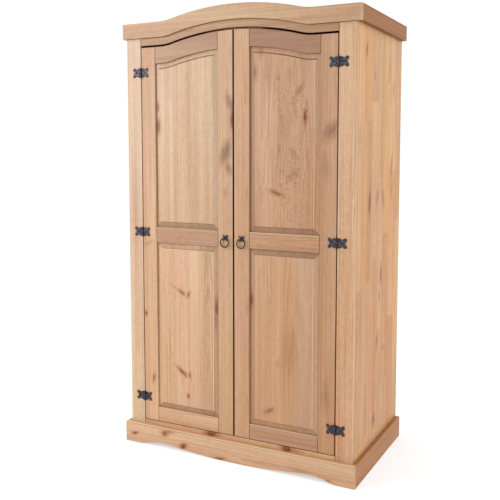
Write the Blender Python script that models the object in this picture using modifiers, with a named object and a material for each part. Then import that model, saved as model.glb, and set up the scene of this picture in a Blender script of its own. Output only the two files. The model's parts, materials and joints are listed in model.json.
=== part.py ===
"""Free-standing two-door pine wardrobe with an arched cornice.

The unit is the metre and +Z is up. The doors face -Y, and the origin is on the floor under the
middle of the wardrobe. Every board is its own object. Each door hangs from an empty on its hinge
axis, and each ring pull from an empty on its own pivot.
"""
import math

import bmesh
import bpy
from mathutils import Vector

OBJECT_NAME = "wardrobe"
GAP = 0.0003             # clearance kept between pieces that touch

# --- Driving dimensions -------------------------------------------------------------------
CARCASS_WIDTH = 1.020
FRONT = -0.280           # front face of the face frame and of the closed doors
BACK = 0.300             # rearmost face
FRAME_THICKNESS = 0.022  # face frame and door frames
PANEL_THICKNESS = 0.018  # side, top and base panels
STILE_WIDTH = 0.070      # face-frame stiles
FRAME_TOP = 1.790        # top of the stiles and side panels, behind the cornice

# Cornice: an arched front board and two straight side boards
CORNICE_OVERHANG_SIDE = 0.020
CORNICE_OVERHANG_FRONT = 0.010
CORNICE_THICKNESS = 0.022
CORNICE_BOTTOM = 1.7385
CORNICE_TOP = 1.800
CORNICE_RISE = 0.0425    # crown of the top edge above its flat ends
CORNICE_CHAMFER = 0.008  # on the two vertical front corners

# Arch: two flat ends, a hollow arc on each side and one crown arc
ARCH_HALF_RUN = 0.343
ARCH_CROWN_SHARE = 0.83  # crown radius as a share of both radii together
ARCH_STEPS = 22
OPENING_RISE = 0.0445    # crown of the door opening above its flat ends
OPENING_TOP = 1.707      # underside of the arched rail at its flat ends
LAP_HEIGHT = 0.010       # how far the arched rail stops below the cornice's top edge

# Bottom of the carcass
BOTTOM_RAIL = (0.046, 0.106)
BASE_PANEL = (0.086, 0.104)

# Plinth: a shaped front board and two straight side boards
PLINTH_HEIGHT = 0.088
PLINTH_PROUD_FRONT = 0.020
PLINTH_PROUD_SIDE = 0.018
PLINTH_BEVEL = 0.003
BELLY_RADIUS = 2.45      # long curve in the middle of the front board's lower edge
NOTCH_RADIUS = 0.318     # rounded notch inside each foot
NOTCH_HEIGHT = 0.020
BELLY_CLEARANCE = 0.0005

# Doors
DOOR_SIDE_GAP = 0.003
DOOR_TOP_GAP = 0.007
DOOR_BOTTOM_GAP = 0.002
DOOR_MEETING_GAP = 0.006
DOOR_STILE = 0.068
DOOR_TOP_RAIL = 0.068
DOOR_MID_RAIL = (0.885, 0.951)
DOOR_BOTTOM_RAIL = 0.062
GROOVE_DEPTH = 0.009
TONGUE_DEPTH = 0.0085
TONGUE_FROM_FRONT = 0.0085
TONGUE_THICKNESS = 0.006
FIELD_BORDER = 0.024     # width of the sloping border round each raised field
FIELD_RAISE = 0.007

# Interior
SHELF = (1.462, 1.478)
SHELF_HOUSING = 0.006    # how deep the shelf is let into the side panels
RAIL_HEIGHT = 1.400
RAIL_RADIUS = 0.014
SOCKET_RADIUS = 0.023
SOCKET_DEPTH = 0.012
SOCKET_FLOOR = 0.003
TOP_PANEL = (1.742, 1.760)
CATCH_SIZE = (0.060, 0.032, 0.016)

# Back
SHEET_THICKNESS = 0.004
SHEET_FRONT = 0.288
SHEET_BOTTOM = 0.040
MUNTIN_WIDTH = 0.048
BACK_RAIL_TOP = 1.795

# Surface hinges
HINGE_HEIGHTS = {"top": 1.5965, "middle": 0.928, "bottom": 0.210}
BARREL_RADIUS = 0.0042
BARREL_HALF = 0.019
KNUCKLE_HALF = 0.007     # half-length of the door leaf's middle knuckle
LEAF_THICKNESS = 0.0022
LEAF_INNER = 0.0048      # clearance from the axis beside the other leaf's knuckle
PIN_RADIUS = 0.0015
PIN_BORE = 0.00165
PIN_HEAD_RADIUS = 0.003
PIN_HEAD = 0.002
BARREL_SIDES = 14

# Ring pulls
PULL_HEIGHT = 0.922
PLATE_MEAN_RADIUS = 0.0120
PLATE_WAVE = 0.0048
PLATE_THICKNESS = 0.002
BOSS_RADIUS = 0.0085
BOSS_HEIGHT = 0.0037
EYE_SIZE = (0.006, 0.0115, 0.0135)
EYE_BORE = 0.0033
RING_RADIUS = 0.0185
RING_WIRE = 0.0026
RING_PIVOT_OUT = 0.0085  # pivot in front of the door, level with the plate's centre

# --- Values worked out from the dimensions -------------------------------------------------
HALF = CARCASS_WIDTH / 2
INNER = HALF - PANEL_THICKNESS
OPENING = HALF - STILE_WIDTH
FRAME_BACK = FRONT + FRAME_THICKNESS
CORNICE_HALF = HALF + CORNICE_OVERHANG_SIDE
CORNICE_FRONT = FRONT - CORNICE_OVERHANG_FRONT
CORNICE_BACK = CORNICE_FRONT + CORNICE_THICKNESS
PLINTH_HALF = HALF + PLINTH_PROUD_SIDE
DOOR_OUTER = OPENING - DOOR_SIDE_GAP
DOOR_INNER = DOOR_MEETING_GAP / 2
DOOR_BOTTOM = BOTTOM_RAIL[1] + DOOR_BOTTOM_GAP
DOOR_TOP = OPENING_TOP - DOOR_TOP_GAP
SIGHT_OUTER = DOOR_OUTER - DOOR_STILE
SIGHT_INNER = DOOR_INNER + DOOR_STILE
HINGE_X = OPENING - DOOR_SIDE_GAP / 2
HINGE_Y = FRONT - GAP - BARREL_RADIUS
PULL_X = (DOOR_INNER + SIGHT_INNER) / 2
CAVITY_FRONT = FRAME_BACK + GAP
CAVITY_BACK = SHEET_FRONT - GAP

SIDES = {"left": -1, "right": 1}


# --- Scene and materials -------------------------------------------------------------------
def clear_scene():
    for obj in list(bpy.data.objects):
        bpy.data.objects.remove(obj, do_unlink=True)


def new_collection(name):
    collection = bpy.data.collections.new(name)
    bpy.context.scene.collection.children.link(collection)
    return collection


def principled(name, color, roughness, metallic=0.0):
    material = bpy.data.materials.new(name)
    material.use_nodes = True
    shader = material.node_tree.nodes["Principled BSDF"]
    shader.inputs["Base Color"].default_value = (*color, 1.0)
    shader.inputs["Roughness"].default_value = roughness
    shader.inputs["Metallic"].default_value = metallic
    return material


PINE = (0.60, 0.38, 0.21)
PINE_SHADED = (0.50, 0.29, 0.15)
PLY = (0.55, 0.40, 0.25)
BLACK_IRON = (0.025, 0.025, 0.030)
WHITE_PLASTIC = (0.75, 0.74, 0.70)


def wood(name, color=PINE):
    return principled(name + "_pine", color, 0.5)


def iron(name):
    return principled(name + "_iron", BLACK_IRON, 0.45, 0.8)


# --- Placing pieces ------------------------------------------------------------------------
def world_place(obj):
    """World position of an unrotated chain of empties."""
    return obj.location + world_place(obj.parent) if obj else Vector((0.0, 0.0, 0.0))


def add_piece(name, mesh, material, location=(0, 0, 0), rotation=(0, 0, 0), parent=None):
    """An object at a world location, kept there when it has a parent."""
    if material:
        mesh.materials.clear()
        mesh.materials.append(material)
    piece = bpy.data.objects.new(name, mesh)
    piece.parent = parent
    piece.location = Vector(location) - world_place(parent)
    piece.rotation_euler = rotation
    PARTS.objects.link(piece)
    return piece


def add_pivot(name, location, parent=None):
    pivot = bpy.data.objects.new(name, None)
    pivot.parent = parent
    pivot.location = Vector(location) - world_place(parent)
    PARTS.objects.link(pivot)
    return pivot


def make_cutter(piece):
    """Turn a piece into a guide that only cuts others."""
    PARTS.objects.unlink(piece)
    CUTTERS.objects.link(piece)
    piece.hide_render = True
    piece.display_type = "WIRE"
    return piece


def add_boolean(piece, other, operation="DIFFERENCE"):
    modifier = piece.modifiers.new(operation.lower(), "BOOLEAN")
    modifier.operation = operation
    modifier.object = other
    modifier.solver = "EXACT"


def baked_mesh(piece):
    """The evaluated mesh of a piece in its own frame; the piece itself is removed."""
    bpy.context.view_layer.update()
    depsgraph = bpy.context.evaluated_depsgraph_get()
    mesh = bpy.data.meshes.new_from_object(piece.evaluated_get(depsgraph))
    bpy.data.objects.remove(piece, do_unlink=True)
    return mesh


# --- Basic shapes --------------------------------------------------------------------------
def box(name, x, y, z, material=None, parent=None):
    """A squared board between three (low, high) pairs."""
    spans = [sorted(pair) for pair in (x, y, z)]
    mesh = bpy.data.meshes.new(name)
    bm = bmesh.new()
    bmesh.ops.create_cube(bm, size=1.0)
    bmesh.ops.scale(bm, vec=[high - low for low, high in spans], verts=bm.verts)
    bm.to_mesh(mesh)
    bm.free()
    centre = [(low + high) / 2 for low, high in spans]
    return add_piece(name, mesh, material, centre, parent=parent)


def cylinder(name, radius, length, sides, location, rotation, material=None, parent=None):
    """A solid round bar along its own Z axis."""
    mesh = bpy.data.meshes.new(name)
    bm = bmesh.new()
    bmesh.ops.create_cone(bm, cap_ends=True, segments=sides, radius1=radius, radius2=radius,
                          depth=length)
    bm.to_mesh(mesh)
    bm.free()
    mesh.shade_smooth()
    mesh.set_sharp_from_angle(angle=math.radians(40))
    return add_piece(name, mesh, material, location, rotation, parent)


def flat_board(name, outline, depth, material=None, parent=None):
    """A board cut to an (x, z) outline, between the (front, back) depths."""
    curve = bpy.data.curves.new(name, "CURVE")
    curve.dimensions = "2D"
    curve.fill_mode = "BOTH"
    curve.extrude = (depth[1] - depth[0]) / 2
    spline = curve.splines.new("POLY")
    spline.points.add(len(outline) - 1)
    for point, (x, z) in zip(spline.points, outline):
        point.co = (x, z, 0.0, 1.0)
    spline.use_cyclic_u = True
    guide = bpy.data.objects.new(name + "_outline", curve)
    PARTS.objects.link(guide)
    mesh = baked_mesh(guide)
    bm = bmesh.new()
    bm.from_mesh(mesh)
    bmesh.ops.remove_doubles(bm, verts=bm.verts, dist=0.00001)
    bm.to_mesh(mesh)
    bm.free()
    middle = (depth[0] + depth[1]) / 2
    return add_piece(name, mesh, material, (0, middle, 0), (math.pi / 2, 0, 0), parent)


def turned(name, profile, sides, location, rotation, material=None, parent=None):
    """A turned solid from (radius, height) points that run down its outer side."""
    mesh = bpy.data.meshes.new(name)
    mesh.from_pydata([(r, 0.0, h) for r, h in profile],
                     [(i, i + 1) for i in range(len(profile) - 1)], [])
    piece = add_piece(name, mesh, material, location, rotation, parent)
    screw = piece.modifiers.new("turn", "SCREW")
    screw.steps = sides
    screw.render_steps = sides
    screw.use_merge_vertices = True
    screw.merge_threshold = 0.00001
    return piece


def bevel_edges(piece, chosen, width):
    """Chamfer the edges that the test picks by their two end points, in the piece's frame."""
    bm = bmesh.new()
    bm.from_mesh(piece.data)
    edges = [edge for edge in bm.edges if chosen(edge.verts[0].co, edge.verts[1].co)]
    bmesh.ops.bevel(bm, geom=edges, offset=width, offset_type="OFFSET", segments=1,
                    profile=0.5, affect="EDGES")
    bm.to_mesh(piece.data)
    bm.free()


# --- Curves --------------------------------------------------------------------------------
def arch_lift(x, rise):
    """Height of the arch above its flat ends: a crown arc that flows into a hollow arc."""
    both_radii = (ARCH_HALF_RUN ** 2 + rise ** 2) / (2 * rise)
    crown = ARCH_CROWN_SHARE * both_radii
    hollow = both_radii - crown
    away = abs(x)
    if away >= ARCH_HALF_RUN:
        return 0.0
    if away <= ARCH_HALF_RUN * ARCH_CROWN_SHARE:
        return rise - (crown - math.sqrt(crown ** 2 - away ** 2))
    return hollow - math.sqrt(hollow ** 2 - (ARCH_HALF_RUN - away) ** 2)


def arch_edge(x_from, x_to, base, rise):
    """Points along an arched edge, with the flat ends left as straight lines."""
    inside = [ARCH_HALF_RUN * (2 * i / ARCH_STEPS - 1) for i in range(ARCH_STEPS + 1)]
    low, high = sorted((x_from, x_to))
    stations = [low] + [x for x in inside if low + 0.002 < x < high - 0.002] + [high]
    points = [(x, base + arch_lift(x, rise)) for x in stations]
    return points if x_from < x_to else points[::-1]


def plinth_edge():
    """Lower edge of the plinth board from left to right: foot, notch, belly, notch, foot."""
    notch_middle = math.sqrt(NOTCH_HEIGHT * (2 * (BELLY_RADIUS + NOTCH_RADIUS) - NOTCH_HEIGHT))
    tangent = notch_middle * BELLY_RADIUS / (BELLY_RADIUS + NOTCH_RADIUS)
    notch_centre = NOTCH_HEIGHT - NOTCH_RADIUS
    foot_corner = notch_middle + math.sqrt(NOTCH_RADIUS ** 2 - notch_centre ** 2)

    def height(x):
        if x <= tangent:
            return BELLY_CLEARANCE + BELLY_RADIUS - math.sqrt(BELLY_RADIUS ** 2 - x ** 2)
        return notch_centre + math.sqrt(NOTCH_RADIUS ** 2 - (x - notch_middle) ** 2)

    belly = [tangent * i / 6 for i in range(7)]
    notch = [tangent + (foot_corner - tangent) * i / 7 for i in range(1, 7)]
    half = [(x, height(x)) for x in belly + notch] + [(foot_corner, 0.0)]
    return [(-x, z) for x, z in reversed(half)] + half[1:]


# --- Carcass -------------------------------------------------------------------------------
def side_panel(name, sign):
    """A full-height side, with a housing for the end of the shelf."""
    panel = box(name, (sign * INNER, sign * HALF), (CAVITY_FRONT, BACK), (0.0, FRAME_TOP),
                wood(name, PINE_SHADED))
    housing = box(name + "_housing",
                  (sign * (INNER - 0.01), sign * (INNER + SHELF_HOUSING)),
                  (CAVITY_FRONT - 0.01, SHEET_FRONT),
                  (SHELF[0] - GAP, SHELF[1] + GAP))
    add_boolean(panel, make_cutter(housing))


def face_frame():
    """Two full-height stiles, the arched rail and the bottom rail. The stiles and the arched
    rail are rebated at the top, where the cornice's front board laps over them."""
    lap = flat_board("cornice_lap",
                     [(-0.6, CORNICE_BOTTOM - GAP)]
                     + arch_edge(-ARCH_HALF_RUN, ARCH_HALF_RUN, CORNICE_BOTTOM - GAP, OPENING_RISE)
                     + [(0.6, CORNICE_BOTTOM - GAP), (0.6, 1.9), (-0.6, 1.9)],
                     (FRONT - 0.02, CORNICE_BACK + GAP))
    make_cutter(lap)
    for side, sign in SIDES.items():
        name = side + "_front_stile"
        stile = box(name, (sign * OPENING, sign * HALF), (FRONT, FRAME_BACK),
                    (0.0, FRAME_TOP), wood(name))
        add_boolean(stile, lap)
    reach = OPENING - GAP
    rail = flat_board("arched_top_rail",
                      arch_edge(-reach, reach, OPENING_TOP, OPENING_RISE)
                      + arch_edge(reach, -reach, CORNICE_TOP - LAP_HEIGHT, CORNICE_RISE),
                      (FRONT, FRAME_BACK), wood("arched_top_rail"))
    add_boolean(rail, lap)
    box("bottom_front_rail", (-reach, reach), (FRONT, FRAME_BACK), BOTTOM_RAIL,
        wood("bottom_front_rail"))


def cornice():
    """The arched front board, with chamfered corners, and the side boards butted behind it."""
    outline = (arch_edge(-CORNICE_HALF, CORNICE_HALF, CORNICE_BOTTOM, OPENING_RISE)
               + arch_edge(CORNICE_HALF, -CORNICE_HALF, CORNICE_TOP, CORNICE_RISE))
    front = flat_board("cornice_front", outline, (CORNICE_FRONT, CORNICE_BACK),
                       wood("cornice_front"))

    def front_corner(a, b):
        upright = abs(a.x - b.x) < 1e-6 and abs(a.y - b.y) > 0.01
        return upright and abs(a.x) > CORNICE_HALF - 1e-5 and a.z > 0 and b.z > 0

    bevel_edges(front, front_corner, CORNICE_CHAMFER)
    for side, sign in SIDES.items():
        name = "cornice_" + side
        box(name, (sign * (HALF + GAP), sign * CORNICE_HALF), (CORNICE_BACK + GAP, BACK),
            (CORNICE_BOTTOM, CORNICE_TOP), wood(name, PINE_SHADED))


def plinth():
    """The shaped front board and straight side boards, all with a bevelled top edge."""
    bottom = plinth_edge()
    outline = ([(-PLINTH_HALF, 0.0)] + bottom
               + [(PLINTH_HALF, 0.0), (PLINTH_HALF, PLINTH_HEIGHT), (-PLINTH_HALF, PLINTH_HEIGHT)])
    front = flat_board("plinth_front", outline, (FRONT - PLINTH_PROUD_FRONT, FRONT - GAP),
                       wood("plinth_front"))

    def top_edge(a, b):
        at_top = a.y > PLINTH_HEIGHT - 1e-5 and b.y > PLINTH_HEIGHT - 1e-5
        along_front = a.z > 0 and b.z > 0 and abs(a.x - b.x) > 1.0
        at_end = abs(a.x - b.x) < 1e-6 and abs(a.x) > PLINTH_HALF - 1e-5
        return at_top and (along_front or at_end)

    bevel_edges(front, top_edge, PLINTH_BEVEL)
    for side, sign in SIDES.items():
        name = "plinth_" + side
        board = box(name, (sign * (HALF + GAP), sign * PLINTH_HALF), (FRONT, BACK),
                    (0.0, PLINTH_HEIGHT), wood(name, PINE_SHADED))

        def outer_top(a, b, sign=sign):
            return min(a.z, b.z) > 0 and min(sign * a.x, sign * b.x) > 0

        bevel_edges(board, outer_top, PLINTH_BEVEL)


def interior():
    """Base, top, shelf, hanging rail in its two sockets, and the door catch."""
    reach = INNER - GAP
    depth = (CAVITY_FRONT, CAVITY_BACK)
    box("base_panel", (-reach, reach), depth, BASE_PANEL, wood("base_panel"))
    box("top_panel", (-reach, reach), depth, TOP_PANEL, wood("top_panel"))
    shelf_reach = INNER + SHELF_HOUSING - GAP
    box("hat_shelf", (-shelf_reach, shelf_reach), depth, SHELF, wood("hat_shelf"))
    cylinder("hanging_rail", RAIL_RADIUS, 2 * (reach - SOCKET_FLOOR - GAP), 24,
             (0.0, 0.0, RAIL_HEIGHT), (0.0, math.pi / 2, 0.0), wood("hanging_rail"))
    bore = RAIL_RADIUS + GAP
    cup = [(0.0, SOCKET_FLOOR), (bore, SOCKET_FLOOR), (bore, SOCKET_DEPTH),
           (SOCKET_RADIUS - 0.003, SOCKET_DEPTH), (SOCKET_RADIUS, 0.0), (0.0, 0.0)]
    for side, sign in SIDES.items():
        name = side + "_rail_socket"
        turned(name, cup, 24, (sign * reach, 0.0, RAIL_HEIGHT), (0.0, -sign * math.pi / 2, 0.0),
               wood(name))
    width, length, height = CATCH_SIZE
    catch_front = FRAME_BACK + 0.0008
    box("door_catch", (-width / 2, width / 2), (catch_front, catch_front + length),
        (TOP_PANEL[0] - GAP - height, TOP_PANEL[0] - GAP),
        principled("catch_plastic", WHITE_PLASTIC, 0.4))


def back():
    """Two thin sheets meeting under a centre muntin, and the rails above and below."""
    reach = INNER - GAP
    sheet = (SHEET_FRONT, SHEET_FRONT + SHEET_THICKNESS)
    for side, sign in SIDES.items():
        name = side + "_back_sheet"
        box(name, (sign * GAP, sign * reach), sheet, (SHEET_BOTTOM, TOP_PANEL[1]), wood(name, PLY))
    box("back_muntin", (-MUNTIN_WIDTH / 2, MUNTIN_WIDTH / 2), (sheet[1] + GAP, BACK),
        (SHEET_BOTTOM, TOP_PANEL[1]), wood("back_muntin"))
    box("top_back_rail", (-reach, reach), (CAVITY_BACK - PANEL_THICKNESS, sheet[1]),
        (TOP_PANEL[1] + GAP, BACK_RAIL_TOP), wood("top_back_rail"))
    box("bottom_back_rail", (-reach, reach), (CAVITY_BACK - PANEL_THICKNESS, CAVITY_BACK),
        (0.0, BASE_PANEL[0] - GAP), wood("bottom_back_rail"))


# --- Doors ---------------------------------------------------------------------------------
def opening_outline(sign, low, high, grow):
    """Outline of a panel opening, grown on every side. The upper one has an arched top."""
    inner = sign * (SIGHT_INNER - grow)
    outer = sign * (SIGHT_OUTER + grow)
    left, right = sorted((inner, outer))
    if high is None:
        top = arch_edge(right, left, DOOR_TOP - DOOR_TOP_RAIL + grow, OPENING_RISE)
    else:
        top = [(right, high + grow), (left, high + grow)]
    return [(left, low - grow), (right, low - grow)] + top


def raised_panel(name, sign, low, high, parent):
    """A fielded panel: a thin tongue all round, a sloping border and a flat raised field."""
    front = FRONT + TONGUE_FROM_FRONT
    panel = flat_board(name, opening_outline(sign, low, high, TONGUE_DEPTH),
                       (front, front + TONGUE_THICKNESS), wood(name), parent)
    bm = bmesh.new()
    bm.from_mesh(panel.data)
    for facing in (1, -1):
        flat = [face for face in bm.faces if face.normal.z * facing > 0.9]
        bmesh.ops.dissolve_faces(bm, faces=flat)
    field = [face for face in bm.faces if face.normal.z > 0.9]
    bmesh.ops.inset_region(bm, faces=field, thickness=TONGUE_DEPTH, depth=0.0,
                           use_even_offset=True)
    bmesh.ops.inset_region(bm, faces=field, thickness=FIELD_BORDER, depth=FIELD_RAISE,
                           use_even_offset=True)
    bm.to_mesh(panel.data)
    bm.free()


def groove_cutter(name, sign, low, high):
    """The slot that both panels' tongues sit in, as one slab for each opening."""
    front = FRONT + TONGUE_FROM_FRONT
    slab = flat_board(name, opening_outline(sign, low, high, GROOVE_DEPTH),
                      (front - GAP, front + TONGUE_THICKNESS + GAP))
    return make_cutter(slab)


def door(side, sign):
    """A framed door on its hinge axis: stiles right through, rails between, two panels."""
    pivot = add_pivot(side + "_door_pivot", (sign * HINGE_X, HINGE_Y, 0.0))
    depth = (FRONT, FRAME_BACK)
    prefix = side + "_door_"
    bottom_top = DOOR_BOTTOM + DOOR_BOTTOM_RAIL
    upper = (DOOR_MID_RAIL[1], None)
    lower = (bottom_top, DOOR_MID_RAIL[0])
    grooves = [groove_cutter(prefix + "upper_groove", sign, *upper),
               groove_cutter(prefix + "lower_groove", sign, *lower)]

    framing = [box(prefix + "hinge_stile", (sign * SIGHT_OUTER, sign * DOOR_OUTER), depth,
                   (DOOR_BOTTOM, DOOR_TOP), wood(prefix + "hinge_stile"), pivot)]
    left, right = sorted((sign * DOOR_INNER, sign * SIGHT_INNER))
    framing.append(flat_board(prefix + "meeting_stile",
                              [(left, DOOR_BOTTOM), (right, DOOR_BOTTOM)]
                              + arch_edge(right, left, DOOR_TOP, OPENING_RISE),
                              depth, wood(prefix + "meeting_stile"), pivot))
    left, right = sorted((sign * (SIGHT_INNER + GAP), sign * (SIGHT_OUTER - GAP)))
    framing.append(flat_board(prefix + "top_rail",
                              arch_edge(left, right, DOOR_TOP - DOOR_TOP_RAIL, OPENING_RISE)
                              + arch_edge(right, left, DOOR_TOP, OPENING_RISE),
                              depth, wood(prefix + "top_rail"), pivot))
    framing.append(box(prefix + "mid_rail", (left, right), depth, DOOR_MID_RAIL,
                       wood(prefix + "mid_rail"), pivot))
    framing.append(box(prefix + "bottom_rail", (left, right), depth, (DOOR_BOTTOM, bottom_top),
                       wood(prefix + "bottom_rail"), pivot))
    for piece in framing:
        for groove in grooves:
            add_boolean(piece, groove)
    raised_panel(prefix + "upper_panel", sign, *upper, pivot)
    raised_panel(prefix + "lower_panel", sign, *lower, pivot)
    return pivot


# --- Hinges --------------------------------------------------------------------------------
LEAF_HALF_OUTLINE = [      # upper half of a frame leaf from its belly to its round ear, (x, z)
    (LEAF_INNER, 0.0180), (0.0120, 0.0180), (0.0165, 0.0170), (0.0200, 0.0147),
    (0.0222, 0.0124), (0.0240, 0.0124), (0.0256, 0.0146), (0.0272, 0.0174), (0.0304, 0.0192),
    (0.0346, 0.0194), (0.0384, 0.0178), (0.0405, 0.0144), (0.0402, 0.0104), (0.0380, 0.0072),
    (0.0350, 0.0042), (0.0340, 0.0),
]
DOOR_LEAF_SHARE = 0.85     # the door leaf's length as a share of the frame leaf's


def leaf_mesh(name, knuckles, share):
    """A leaf that reaches to +X of the hinge axis, with the knuckles (low, high) on the axis."""
    half = [(LEAF_INNER + (x - LEAF_INNER) * share, z) for x, z in LEAF_HALF_OUTLINE]
    upper = half[::-1]
    lower = [(x, -z) for x, z in half[:-1]]
    plate_back = BARREL_RADIUS
    leaf = flat_board(name, upper + lower, (plate_back - LEAF_THICKNESS, plate_back))
    leaf.data.transform(leaf.matrix_basis)
    leaf.matrix_basis.identity()
    temporary = []
    for low, high in knuckles:
        middle = (low + high) / 2
        barrel = cylinder(name + "_barrel", BARREL_RADIUS, high - low, BARREL_SIDES,
                          (0.0, 0.0, middle), (0.0, 0.0, 0.0))
        web = box(name + "_web", (0.0, LEAF_INNER + 0.003),
                  (plate_back - LEAF_THICKNESS, plate_back - 0.0001), (low, high))
        temporary += [barrel, web]
    for solid in temporary:
        add_boolean(leaf, solid, "UNION")
    bore = cylinder(name + "_bore", PIN_BORE, 0.1, BARREL_SIDES, (0.0, 0.0, 0.0), (0.0, 0.0, 0.0))
    add_boolean(leaf, bore)
    mesh = baked_mesh(leaf)
    for solid in temporary + [bore]:
        bpy.data.objects.remove(solid, do_unlink=True)
    return mesh


def hinges(pivots):
    """Three surface hinges a door: a leaf on the frame, a leaf on the door and a loose pin."""
    middle = [(-KNUCKLE_HALF, KNUCKLE_HALF)]
    ends = [(-BARREL_HALF, -KNUCKLE_HALF - GAP), (KNUCKLE_HALF + GAP, BARREL_HALF)]
    frame_leaf = leaf_mesh("frame_leaf", ends, 1.0)
    door_leaf = leaf_mesh("door_leaf", middle, DOOR_LEAF_SHARE)
    top = BARREL_HALF + GAP
    head = top + PIN_HEAD
    pin_profile = [(0.0, head), (PIN_HEAD_RADIUS * 0.6, head), (PIN_HEAD_RADIUS, top + PIN_HEAD / 2),
                   (PIN_HEAD_RADIUS, top), (PIN_RADIUS, top)]
    pin_profile += [(radius, -height) for radius, height in reversed(pin_profile)]
    for side, sign in SIDES.items():
        outward = (0.0, 0.0, 0.0) if sign > 0 else (0.0, math.pi, 0.0)
        inward = (0.0, math.pi, 0.0) if sign > 0 else (0.0, 0.0, 0.0)
        for level, height in HINGE_HEIGHTS.items():
            place = (sign * HINGE_X, HINGE_Y, height)
            prefix = side + "_" + level + "_hinge_"
            add_piece(prefix + "frame_leaf", frame_leaf.copy(), iron(prefix + "frame_leaf"),
                      place, outward)
            add_piece(prefix + "door_leaf", door_leaf.copy(), iron(prefix + "door_leaf"),
                      place, inward, pivots[side])
            turned(prefix + "pin", pin_profile, BARREL_SIDES, place, (0.0, 0.0, 0.0),
                   iron(prefix + "pin"))


# --- Ring pulls ----------------------------------------------------------------------------
def pull_plate(name, x, parent):
    """A four-lobed plate with a domed boss and an eye that the ring passes through."""
    count = 40
    outline = []
    for i in range(count):
        angle = 2 * math.pi * i / count
        radius = PLATE_MEAN_RADIUS - PLATE_WAVE * math.cos(4 * angle)
        outline.append((x + radius * math.cos(angle), PULL_HEIGHT + radius * math.sin(angle)))
    plate_front = FRONT - GAP - PLATE_THICKNESS
    plate = flat_board(name, outline, (plate_front, FRONT - GAP), iron(name), parent)
    boss_back = plate_front + 0.0005
    boss = cylinder(name + "_boss", BOSS_RADIUS, BOSS_HEIGHT, 20,
                    (x, boss_back - BOSS_HEIGHT / 2, PULL_HEIGHT), (math.pi / 2, 0.0, 0.0))
    width, depth, height = EYE_SIZE
    pivot_y = FRONT - RING_PIVOT_OUT
    eye_front = pivot_y - height / 2 + 0.0015
    eye = box(name + "_eye", (x - width / 2, x + width / 2), (eye_front, eye_front + depth),
              (PULL_HEIGHT - height / 2, PULL_HEIGHT + height / 2))
    bore = cylinder(name + "_bore", EYE_BORE, 0.04, 16, (x, pivot_y, PULL_HEIGHT),
                    (0.0, math.pi / 2, 0.0))
    for solid in (boss, eye):
        add_boolean(plate, make_cutter(solid), "UNION")
    add_boolean(plate, make_cutter(bore))


def ring_pull(side, sign, door_pivot):
    """The fixed plate on the meeting stile, and the ring that hangs in its eye."""
    x = sign * PULL_X
    pull_plate(side + "_pull_plate", x, door_pivot)
    place = Vector((x, FRONT - RING_PIVOT_OUT, PULL_HEIGHT))
    pivot = add_pivot(side + "_ring_pivot", place, door_pivot)
    bpy.ops.mesh.primitive_torus_add(major_segments=28, minor_segments=8,
                                     major_radius=RING_RADIUS, minor_radius=RING_WIRE)
    made = bpy.context.active_object
    mesh = made.data
    bpy.data.objects.remove(made, do_unlink=True)
    mesh.shade_smooth()
    name = side + "_pull_ring"
    add_piece(name, mesh, iron(name), place - Vector((0.0, 0.0, RING_RADIUS)),
              (math.pi / 2, 0.0, 0.0), pivot)


clear_scene()
PARTS = new_collection(OBJECT_NAME)
CUTTERS = new_collection("cutters")

for side_name, side_sign in SIDES.items():
    side_panel(side_name + "_side_panel", side_sign)
face_frame()
cornice()
plinth()
interior()
back()
door_pivots = {name: door(name, sign) for name, sign in SIDES.items()}
hinges(door_pivots)
for side_name, side_sign in SIDES.items():
    ring_pull(side_name, side_sign, door_pivots[side_name])
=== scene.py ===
"""The look of the two-door pine wardrobe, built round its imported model.

The unit is the metre and +Z is up. The doors face -Y. Every piece keeps its place in its
vertices, and rides on the body of the CAD node that it stands for.
"""
import json
import math
import random

import bmesh
import bpy
from mathutils import Matrix, Vector
from mathutils.bvhtree import BVHTree

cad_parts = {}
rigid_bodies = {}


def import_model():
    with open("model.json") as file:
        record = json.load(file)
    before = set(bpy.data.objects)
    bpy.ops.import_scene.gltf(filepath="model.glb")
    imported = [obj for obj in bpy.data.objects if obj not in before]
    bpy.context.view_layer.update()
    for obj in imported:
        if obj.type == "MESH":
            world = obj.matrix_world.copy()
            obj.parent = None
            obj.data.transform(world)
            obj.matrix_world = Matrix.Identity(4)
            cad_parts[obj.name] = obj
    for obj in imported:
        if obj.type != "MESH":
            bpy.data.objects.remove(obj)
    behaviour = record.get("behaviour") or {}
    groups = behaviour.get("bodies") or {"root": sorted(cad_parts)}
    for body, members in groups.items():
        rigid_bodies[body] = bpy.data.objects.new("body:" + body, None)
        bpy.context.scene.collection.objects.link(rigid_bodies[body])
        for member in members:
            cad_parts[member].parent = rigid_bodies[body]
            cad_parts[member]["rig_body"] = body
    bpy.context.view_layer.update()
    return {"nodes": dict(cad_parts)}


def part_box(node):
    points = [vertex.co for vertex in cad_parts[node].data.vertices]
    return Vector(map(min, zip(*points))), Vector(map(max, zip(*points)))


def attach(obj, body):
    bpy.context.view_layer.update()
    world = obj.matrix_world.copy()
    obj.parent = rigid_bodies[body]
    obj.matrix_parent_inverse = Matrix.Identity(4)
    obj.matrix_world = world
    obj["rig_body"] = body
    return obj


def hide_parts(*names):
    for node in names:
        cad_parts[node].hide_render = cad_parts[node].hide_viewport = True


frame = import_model()

# --- Dimensions --------------------------------------------------------------------------
GAP = 0.0003             # clearance between boards that touch
EASE = 0.0014            # round-over of a board's edges
NEARLY = 0.00001         # points closer than this are one
SIDES = {"left": -1, "right": 1}
LEVELS = ("top", "middle", "bottom")

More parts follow.
